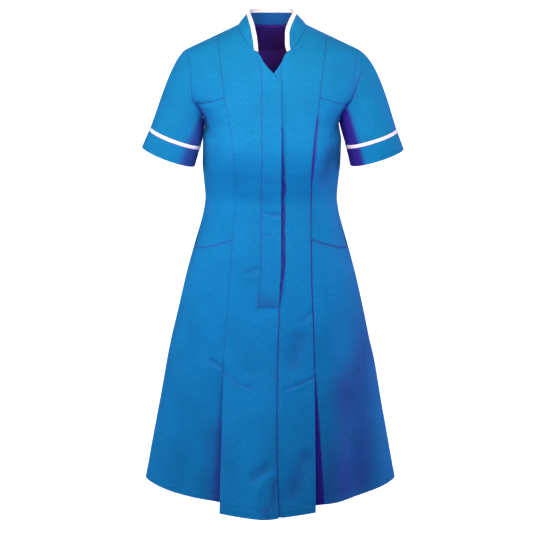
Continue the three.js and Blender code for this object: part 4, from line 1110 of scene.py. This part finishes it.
def tube_normals(rings):
    """Across the rings: the cross product of a step round and a step down, pointing outwards."""
    around = np.roll(rings, -1, axis=1) - np.roll(rings, 1, axis=1)
    normal = unit(np.cross(around, np.gradient(rings, axis=0)))
    outwards = rings - rings.mean(axis=1, keepdims=True)
    return normal * np.sign((normal * outwards).sum(-1, keepdims=True))


# turn at the armhole and at the hem, width in turns, height, share down at the start and end
SLEEVE_FOLDS = {
    "right": [(0.3, 0.33, 0.035, -2.2, 0.25, 1.0), (0.22, 0.16, 0.04, -1.4, 0.3, 0.95),
              (0.36, 0.05, 0.03, -1.6, 0.0, 0.3), (0.72, 0.68, 0.045, -2.5, 0.1, 0.95)],
    "left": [(0.36, -0.9, 0.03, -3.4, -0.1, 0.2), (0.24, 0.2, 0.04, -1.6, 0.3, 1.0),
             (0.64, 0.7, 0.04, -2.5, 0.1, 0.95), (0.12, 0.1, 0.04, -1.2, 0.4, 1.0)],
}
# turn where the shade under the arm starts at the armhole and at the cuff, softness, strength
SLEEVE_SHADE = {"right": (0.41, 0.33, 0.07, 0.75), "left": (0.35, 0.335, 0.035, 1.0)}


def sleeve_relief(side, turn, down_share):
    """Folds of a sleeve by turn (0 outside, a quarter in front) and share of the way down:
    height * exp(-(turn / width)^2), faded in and out along the arm."""
    total = 0 * turn
    for at, at_hem, width, height, start, end in SLEEVE_FOLDS[side]:
        away = (turn - mix(at, at_hem, down_share) + 0.5) % 1 - 0.5
        fade = ramp(start, start + 0.2, down_share) * ramp(end + 0.1, end - 0.15, down_share)
        total = total + height * fade * np.exp(-((away / width) ** 2))
    return total


def sleeve_shade(side, turn, down_share):
    """The shade on the underside of a sleeve, by turn and share of the way down."""
    start, at_cuff, soft, strength = SLEEVE_SHADE[side]
    begin = mix(start, at_cuff, np.clip(down_share, 0, 1))
    under = 0.5 - abs(turn - 0.5)
    return strength * ramp(begin - soft / 2, begin + soft / 2, under + 0 * down_share)


def eased_cap(rings, turn_share, down_share):
    """The cap rounded over the shoulder line: 60 times, each point moves up to half way to the
    middle of its neighbours round the arm, and less the farther it is from that line."""
    from_top = (turn_share + 0.5) % 1 - 0.5
    share = np.exp(-((from_top / 0.1) ** 2)) * ramp(0, 0.1, down_share) * ramp(1, 0.8, down_share)
    for _ in range(60):
        middle = (np.roll(rings, 1, axis=1) + np.roll(rings, -1, axis=1)) / 2
        rings = mix(rings, middle, 0.5 * share[..., None])
    return rings


# %% Sleeves, trims and cuffs
for side in ("right", "left"):
    loop, out_of, leave, height = armhole_loop(side)
    gaps = np.linalg.norm(np.roll(loop, -1, axis=0) - loop, axis=1)
    turn_share = np.r_[0, np.cumsum(gaps)[:-1]] / gaps.sum()
    turn = 2 * math.pi * turn_share
    trim_top = CUFF_DEPTH + SLEEVE_TRIM
    end, down = sleeve_ring(side, turn, trim_top + SEAM_GAP)
    reach = np.linalg.norm(end - loop, axis=1)[:, None]
    fullness = np.interp(height, [0, 2, 3], [0.35, 0.35, SLEEVES[side][5]])[:, None]
    t = np.r_[0, 0.004, 0.009, 0.015, np.linspace(0.022, 1, 80)][:, None, None]
    t2, t3 = t * t, t * t * t
    rings = (loop * (2 * t3 - 3 * t2 + 1) + leave * reach * fullness * (t3 - 2 * t2 + t)
             + end * (3 * t2 - 2 * t3) + down * reach * (t3 - t2))
    rings = eased_cap(rings, turn_share[None], t[..., 0])
    normal = tube_normals(rings)
    normal[0] = out_of
    from_seam = t[..., 0] * reach.T
    folds = sleeve_relief(side, turn_share[None], t[..., 0])
    rings = rings + normal * (seam_roll(from_seam) * (height > 3) + folds)[..., None]
    shade = sleeve_shade(side, turn_share[None], t[..., 0]) + seam_line(from_seam, 0.35)
    # A painted dark line of shade along the left sleeve's crease near the armhole.
    if side == "left":
        crease = (turn_share[None] - mix(0.37, -0.88, t[..., 0]) + 0.5) % 1 - 0.5
        shade = shade + 0.55 * np.exp(-((crease / 0.02) ** 2)) * ramp(0.27, 0.1, t[..., 0])
    piece = wall(f"sleeve_cloth_{side}", rings, normal, BLUE_CLOTH, ring=True,
                 shade=np.clip(shade, 0, 1))
    finish(piece, f"sleeve_{side}", (0.38, 0.18), 0.62)

    strip = np.linspace(-0.9, 9, 8)[:, None, None]
    rings = loop - out_of * (1.3 * CLOTH) + leave * strip
    piece = wall(f"armhole_allowance_{side}", rings, np.broadcast_to(out_of, rings.shape),
                 (SHADED_TWILL_INSIDE, SHADED_TWILL_INSIDE), ALLOWANCE_THICKNESS, ring=True)
    declare_allowance(piece)

    drops = np.linspace(trim_top, CUFF_DEPTH + SEAM_GAP, 8)
    bulges = TRIM_RISE + 0.5 * np.sin(np.linspace(0, math.pi, 8))
    rings = np.stack([sleeve_ring(side, turn, d, wider)[0] for d, wider in zip(drops, bulges)])
    piece = wall(f"trim_{side}", rings, tube_normals(rings), WHITE_CLOTH, CLOTH + TRIM_RISE, ring=True)
    finish(piece, f"sleeve_trim_{side}", (0.375, 0.01), 0.9)

    drops = np.r_[CUFF_DEPTH, CUFF_DEPTH - 0.8, CUFF_DEPTH - 1.8, np.linspace(CUFF_DEPTH - 3, 0, 14)]
    rolls = seam_roll(CUFF_DEPTH - drops)
    rings = np.stack([sleeve_ring(side, turn, d, wider)[0] for d, wider in zip(drops, rolls)])
    shade = sleeve_shade(side, turn_share[None], np.ones((len(drops), 1)))
    shade = np.clip(shade + seam_line(CUFF_DEPTH - drops[:, None], 0.3), 0, 1)
    piece = wall(f"cuff_cloth_{side}", rings, tube_normals(rings), BLUE_CLOTH, ring=True, shade=shade)
    finish(piece, f"cuff_{side}", (0.385, 0.041), 0.95)

# %% [markdown]
# ## The stand collar
# The collar's seam follows the neckline's own points, and its free edge is a curve given by ten
# named points. White trim binds the edge.

# %% Collar
# station number, x on the wearer's right, x on the left, y, z
COLLAR_EDGE = [
    (0, 30, 30.3, -84, -49.5), (1, 31, 27, -76, -35), (2, 34.5, 27, -62, -12),
    (3, 41, 34.5, -42, 11), (4, 46, 41.5, -22, 23), (5, 49, 46, -2, 30),
    (6, 46.5, 44.5, 25, 31), (7, 37, 36, 48, 31), (8, 20, 20, 63, 30.5), (9, 0, 0, 68, 30),
]
COLLAR_TRIM, COLLAR_BOW = 9, 3
FRONT_END = 5 / 18


def collar_edge(share):
    """The free edge by its share of the way from the right front end to the left one."""
    at = 9 * (1 - abs(2 * share - 1))
    x = np.where(share < 0.5, -column(COLLAR_EDGE, 1)(at), column(COLLAR_EDGE, 2)(at))
    return np.stack([x, column(COLLAR_EDGE, 3)(at), column(COLLAR_EDGE, 4)(at)], -1)


def neck_stations():
    """The collar's seam: up the right neckline, round the back of the neck and down the left."""
    row = np.linspace(COLLAR_ROW, TOP_ROW, 21)
    front = {}
    for side in ("right", "left"):
        step = 4 / abs(princess[side](princess_z(row)) - front_edge(side, row))
        step = step if side == "right" else 0 * step + 1 / 7
        t = np.stack([0 * step, step], -1)
        point, normal, _, _ = centre_front(side, row, t)
        along = unit(point[:, 0] - point[:, 1])
        front[side] = (point[:, 0] + along * CLEAR + normal[:, 0] * 0.1, normal[:, 0])
    t = np.linspace(-0.375, 0.375, 33)[1:-1]
    top, normal, x, _ = back_panel(np.array([TOP_ROW, TOP_ROW - 1.0]), np.stack([t, t]))
    behind = top[0] + unit(top[0] - top[1]) * CLEAR + normal[0] * 0.1
    point = np.concatenate([front["right"][0], behind, front["left"][0][::-1]])
    normal = np.concatenate([front["right"][1], normal[0], front["left"][1][::-1]])
    front_share = FRONT_END * (row - COLLAR_ROW) / (TOP_ROW - COLLAR_ROW)
    back_share = 0.5 + np.sign(x[0]) * (0.5 - FRONT_END) * abs(x[0]) / NECK_HALF_WIDTH
    share = np.concatenate([front_share, back_share, 1 - front_share[::-1]])
    return point, normal, share


def collar_wall(name, t, finish_with, thickness=CLOTH, seam_normals=None, proud=0.0):
    """Points between the seam and the free edge, bowed out by up to 0.75 mm between them."""
    edge = collar_edge(seam_share)
    flat = unit(edge * [1, 1, 0])
    point = mix(seam_point, edge, t[..., None]) + flat * (COLLAR_BOW * t * (1 - t))[..., None]
    normal = unit(np.cross(np.gradient(point, axis=1), np.gradient(point, axis=0)))
    outward_way = point * [1, 1, 0] - [0, 5, 0]
    normal *= np.sign((normal * outward_way).sum(-1, keepdims=True))
    if seam_normals is not None:
        normal[0] = seam_normals
    point = point + normal * np.asarray(proud)[..., None]
    return wall(name, point, normal, finish_with, thickness)


seam_point, seam_normal, seam_share = neck_stations()
collar_height = np.linalg.norm(collar_edge(seam_share) - seam_point, axis=1)
cloth_top = np.maximum(1 - (COLLAR_TRIM + CLEAR) / collar_height, 0.15)
trim_foot = np.maximum(1 - COLLAR_TRIM / collar_height, 0.18)
up = np.r_[1e-6, 0.02, 0.05, np.linspace(0.1, 1, 16)][:, None]
# The stand's inner face is the darker, duller copy of the twill: painted shade.
piece = collar_wall("collar_stand", up * cloth_top, (TWILL, SHADED_TWILL_NECK), seam_normals=seam_normal,
                    proud=seam_roll(up * cloth_top * collar_height) * (up > 0.001))
finish(piece, "collar", (0.42, 0.05), 0.52)
up = np.linspace(0, 1, 8)[:, None]
trim_round = 0.6 * np.sin(math.pi * up) + 0 * trim_foot
piece = collar_wall("collar_binding", mix(trim_foot, 1, up), WHITE_CLOTH, proud=trim_round)
finish(piece, "collar_trim", (0.42, 0.0105), 1.0)

# %% [markdown]
# ## The stitches
# A lockstitch machine leaves a row of small, separate threads that sink a little into the cloth.
# Each one here is a tapered bar of 3 rings of 4 points. They hold the hem, the band, the pocket
# mouths and the cuffs, and short dense bars, the bartacks, hold the ends of the pockets and the
# tops of the pleats, where the wearer pulls hardest.

# %% Stitches
STITCH_PITCH, STITCH_LENGTH, STITCH_WIDTH, STITCH_RISE = 3.4, 2.6, 0.55, 0.3
HEM_STITCHES, EDGE_STITCHES, TACK_PITCH, TACK_LENGTH = 19, 2.2, 0.8, 2.6


def bars(centres, along, normals, length):
    """Threads as tapered bars: rings of 4 points at both ends and the middle, the end rings 0.45
    times as thick, each point pushed out sideways by half a width or up by the rise."""
    sideways = unit(np.cross(normals, along))
    corners = np.array([(-1, 0), (0, 1), (1, 0), (0, -1)])
    rings = []
    for shift, thick in ((-0.5, 0.45), (0, 1), (0.5, 0.45)):
        middle = centres + along * shift * length
        for a, b in corners:
            rings.append(middle + thick * (sideways * a * STITCH_WIDTH / 2 + normals * b * STITCH_RISE))
    points = np.stack(rings, 1)
    ring = np.arange(4)
    step = (ring + 1) % 4
    sides = [np.stack([ring + k, step + k, step + k + 4, ring + k + 4], -1) for k in (0, 4)]
    caps = [[[3, 2, 1, 0]], [[8, 9, 10, 11]]]
    cells = np.concatenate([*sides, *caps])
    cells = (cells[None] + 12 * np.arange(len(points))[:, None, None]).reshape(-1, 4)
    return points.reshape(-1, 3), cells


def stitched(path, normals, closed=False):
    """Bars end to end along a path, one for each pitch of its length."""
    if closed:
        path, normals = np.vstack([path, path[:1]]), np.vstack([normals, normals[:1]])
    steps = np.linalg.norm(np.diff(path, axis=0), axis=1)
    at = np.r_[0, np.cumsum(steps)]
    middle = np.arange(STITCH_PITCH / 2, at[-1], STITCH_PITCH)
    read = lambda values: np.stack([np.interp(middle, at, values[:, k]) for k in range(3)], -1)
    return bars(read(path), unit(read(np.gradient(path, axis=0))), unit(read(normals)), STITCH_LENGTH)


def bartack(point, normal, direction, length):
    """A dense bar of stitches laid across a line of this length."""
    along = unit(direction - normal * (direction @ normal))
    offsets = np.arange(-length / 2, length / 2, TACK_PITCH)[:, None]
    across_it = np.cross(normal, along)
    count = (len(offsets), 3)
    return bars(point + offsets * along, np.broadcast_to(across_it, count),
                np.broadcast_to(normal, count), TACK_LENGTH)


def thread_piece(name, runs):
    """All runs of one panel's stitches as one piece."""
    start, all_points, all_cells = 0, [], []
    for points, cells in runs:
        all_points.append(points)
        all_cells.append(cells + start)
        start += len(points)
    points, cells = np.concatenate(all_points), np.concatenate(all_cells)
    piece = new_mesh(name, points, cells, points[:, :2] / 1000, np.zeros(len(cells), int), (THREAD,))
    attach(piece, "root")
    print(name, len(cells) // 10, "stitches")


hem_row = np.array([np.interp(HEM + HEM_STITCHES, [HEM, -990], [0, 1])])
hem_row = hem_row + (HEM + HEM_STITCHES - centre_z(hem_row)) / (centre_z(hem_row + 0.5) - centre_z(hem_row)) / 2
level = np.linspace(0.01, 0.99, 220)[None]
for side in ("right", "left"):
    point, normal, _, _ = centre_front(side, hem_row, level, -0.5)
    thread_piece(f"centre_stitches_{side}", [stitched(point[0], normal[0])])
    point, normal, _, _ = side_front(side, hem_row, level, "lower", -0.5)
    runs = [stitched(point[0], normal[0])]
    pocket = np.array([float(POCKET_ROW)])
    point, normal, _, _ = side_front(side, pocket, level, "lower", raised=-6.0)
    runs.append(stitched(point[0], normal[0]))
    for t_tack in (0.03, 0.97):
        point, normal, _, _ = side_front(side, pocket, np.array([[t_tack]]), "lower", raised=-4.0)
        runs.append(bartack(point[0, 0], normal[0, 0], np.array([0, 0, 1.0]), 8))
    for tack_z in (-680, -743):
        tack_row = np.interp(tack_z, LOWER, np.arange(len(LOWER)))
        point, normal, _, _ = side_front(side, np.array([tack_row]), np.array([[0.012]]), "lower")
        runs.append(bartack(point[0, 0], normal[0, 0], np.array([1.0, 0, 0]), 5))
    thread_piece(f"skirt_stitches_{side}", runs)
    turn = np.linspace(0, 2 * math.pi, 120, endpoint=False)
    ring = np.stack([sleeve_ring(side, turn, CUFF_DEPTH - EDGE_STITCHES + d)[0] for d in (1, 0, -1)])
    thread_piece(f"cuff_stitches_{side}", [stitched(ring[1], tube_normals(ring)[1], closed=True)])

point, normal, _, _ = back_panel(hem_row, np.linspace(-0.99, 0.99, 600)[None], -0.5)
thread_piece("back_stitches", [stitched(point[0], normal[0])])

row = np.linspace(BAND_FOOT_ROW + 0.05, 30.5, 400)
point, normal, _, _ = band(row, np.full((400, 1), EDGE_STITCHES / 40))
foot_point, foot_normal, _, _ = band(np.array([BAND_FOOT_ROW + 0.05]), np.linspace(0.07, 0.95, 30)[None])
thread_piece("band_stitches", [stitched(point[:, 0], normal[:, 0]), stitched(foot_point[0], foot_normal[0])])

# %% [markdown]
# ## Floor and light
# The dress is shown worn, so the floor lies where the wearer would stand. Two soft boxes just in
# front of the chest make the upper half bright and let the hem fall off. A low blue one and the
# blue sky fill the skirt, and two soft rims from behind draw its sides: sky blue on the wearer's
# right and violet on the left. The violet rim and the painted shade on that flank together give it its indigo.

# %% Studio
FLOOR = -1.4
# place, aim, size in metres, power in watts, and red, green and blue shares
SOFT_BOXES = {
    "key_box": ((-0.35, -1.05, 0.12), (0, -0.1, -0.05), 0.6, 20, (0.54, 0.28, 0.15)),
    "upper_box": ((0.3, -1.05, 0.5), (0, -0.1, 0.02), 0.6, 20, (0.64, 0.51, 0.38)),
    "waist_box": ((-0.03, -0.95, -0.32), (0, -0.1, -0.28), 0.5, 20, (0.02, 0.10, 0.22)),
}
# direction it comes from, and red, green and blue strength
RIMS = {"violet_rim": ((1.0, 0.4, 0.1), (0.6, 0.52, 0.78)), "sky_rim": ((-1.0, 0.1, 0.2), (0.4, 0.64, 0.74)),
        "back_fill": ((0.0, 1.0, 0.3), (0.42, 0.46, 0.62))}
SKY = (0.008, 0.008, 0.1)
RIM_ANGLE = math.radians(40)


def lamp(name, data, place, aim):
    """Puts a light at a place and turns it to its aim."""
    made = bpy.data.objects.new(name, data)
    made.location = place
    made.rotation_euler = (Vector(aim) - Vector(place)).to_track_quat("-Z", "Y").to_euler()
    scene.collection.objects.link(made)


for name, (place, aim, size, power, tint) in SOFT_BOXES.items():
    data = bpy.data.lights.new(name, "AREA")
    data.shape, data.size, data.energy, data.color = "DISK", size, power, tint
    lamp(name, data, place, aim)
for name, (place, tint) in RIMS.items():
    data = bpy.data.lights.new(name, "SUN")
    data.angle, data.energy, data.color = RIM_ANGLE, math.pi, tint
    lamp(name, data, place, (0, 0, 0))

world = bpy.data.worlds.new("studio")
scene.world = world
world.use_nodes = True
sky = world.node_tree
sky.nodes.clear()
glow = node(sky, "ShaderNodeBackground", {"Color": (*SKY, 1.0), "Strength": 1.0})
node(sky, "ShaderNodeOutputWorld", {}, Surface=glow.outputs[0])

# %% Paper floor
# White paper, lit from below like a light table, so that it stays pale under the dim sky.
PAPER_GLOW, PAPER_SIZE = 0.95, 40000.0
paper = bpy.data.materials.new("matt paper floor")
paper.use_nodes = True
shader = paper.node_tree.nodes["Principled BSDF"]
shader.inputs["Base Color"].default_value = colour("#f7f7f8")
shader.inputs["Roughness"].default_value = 0.9
shader.inputs["Emission Color"].default_value = colour("#ffffff")
shader.inputs["Emission Strength"].default_value = PAPER_GLOW
corners = np.array([[-1, -1], [1, -1], [1, 1], [-1, 1]]) * PAPER_SIZE
corners = np.concatenate([np.c_[corners, np.full(4, z)] for z in (FLOOR * 1000, PAPER_SIZE)])
wall_cells = [[k, (k + 4), (k + 1) % 4 + 4, (k + 1) % 4] for k in range(4)] + [[7, 6, 5, 4]]
for name, cells in {"floor": [[0, 1, 2, 3]], "paper_walls": wall_cells}.items():
    sheet_of_paper = new_mesh(name, corners, np.array(cells), corners[:, :2] / 1000,
                              np.zeros(len(cells), int), (paper,))
    sheet_of_paper.visible_diffuse = False
    sheet_of_paper.visible_glossy = False
    sheet_of_paper.visible_shadow = False
scene.view_settings.view_transform = "Standard"
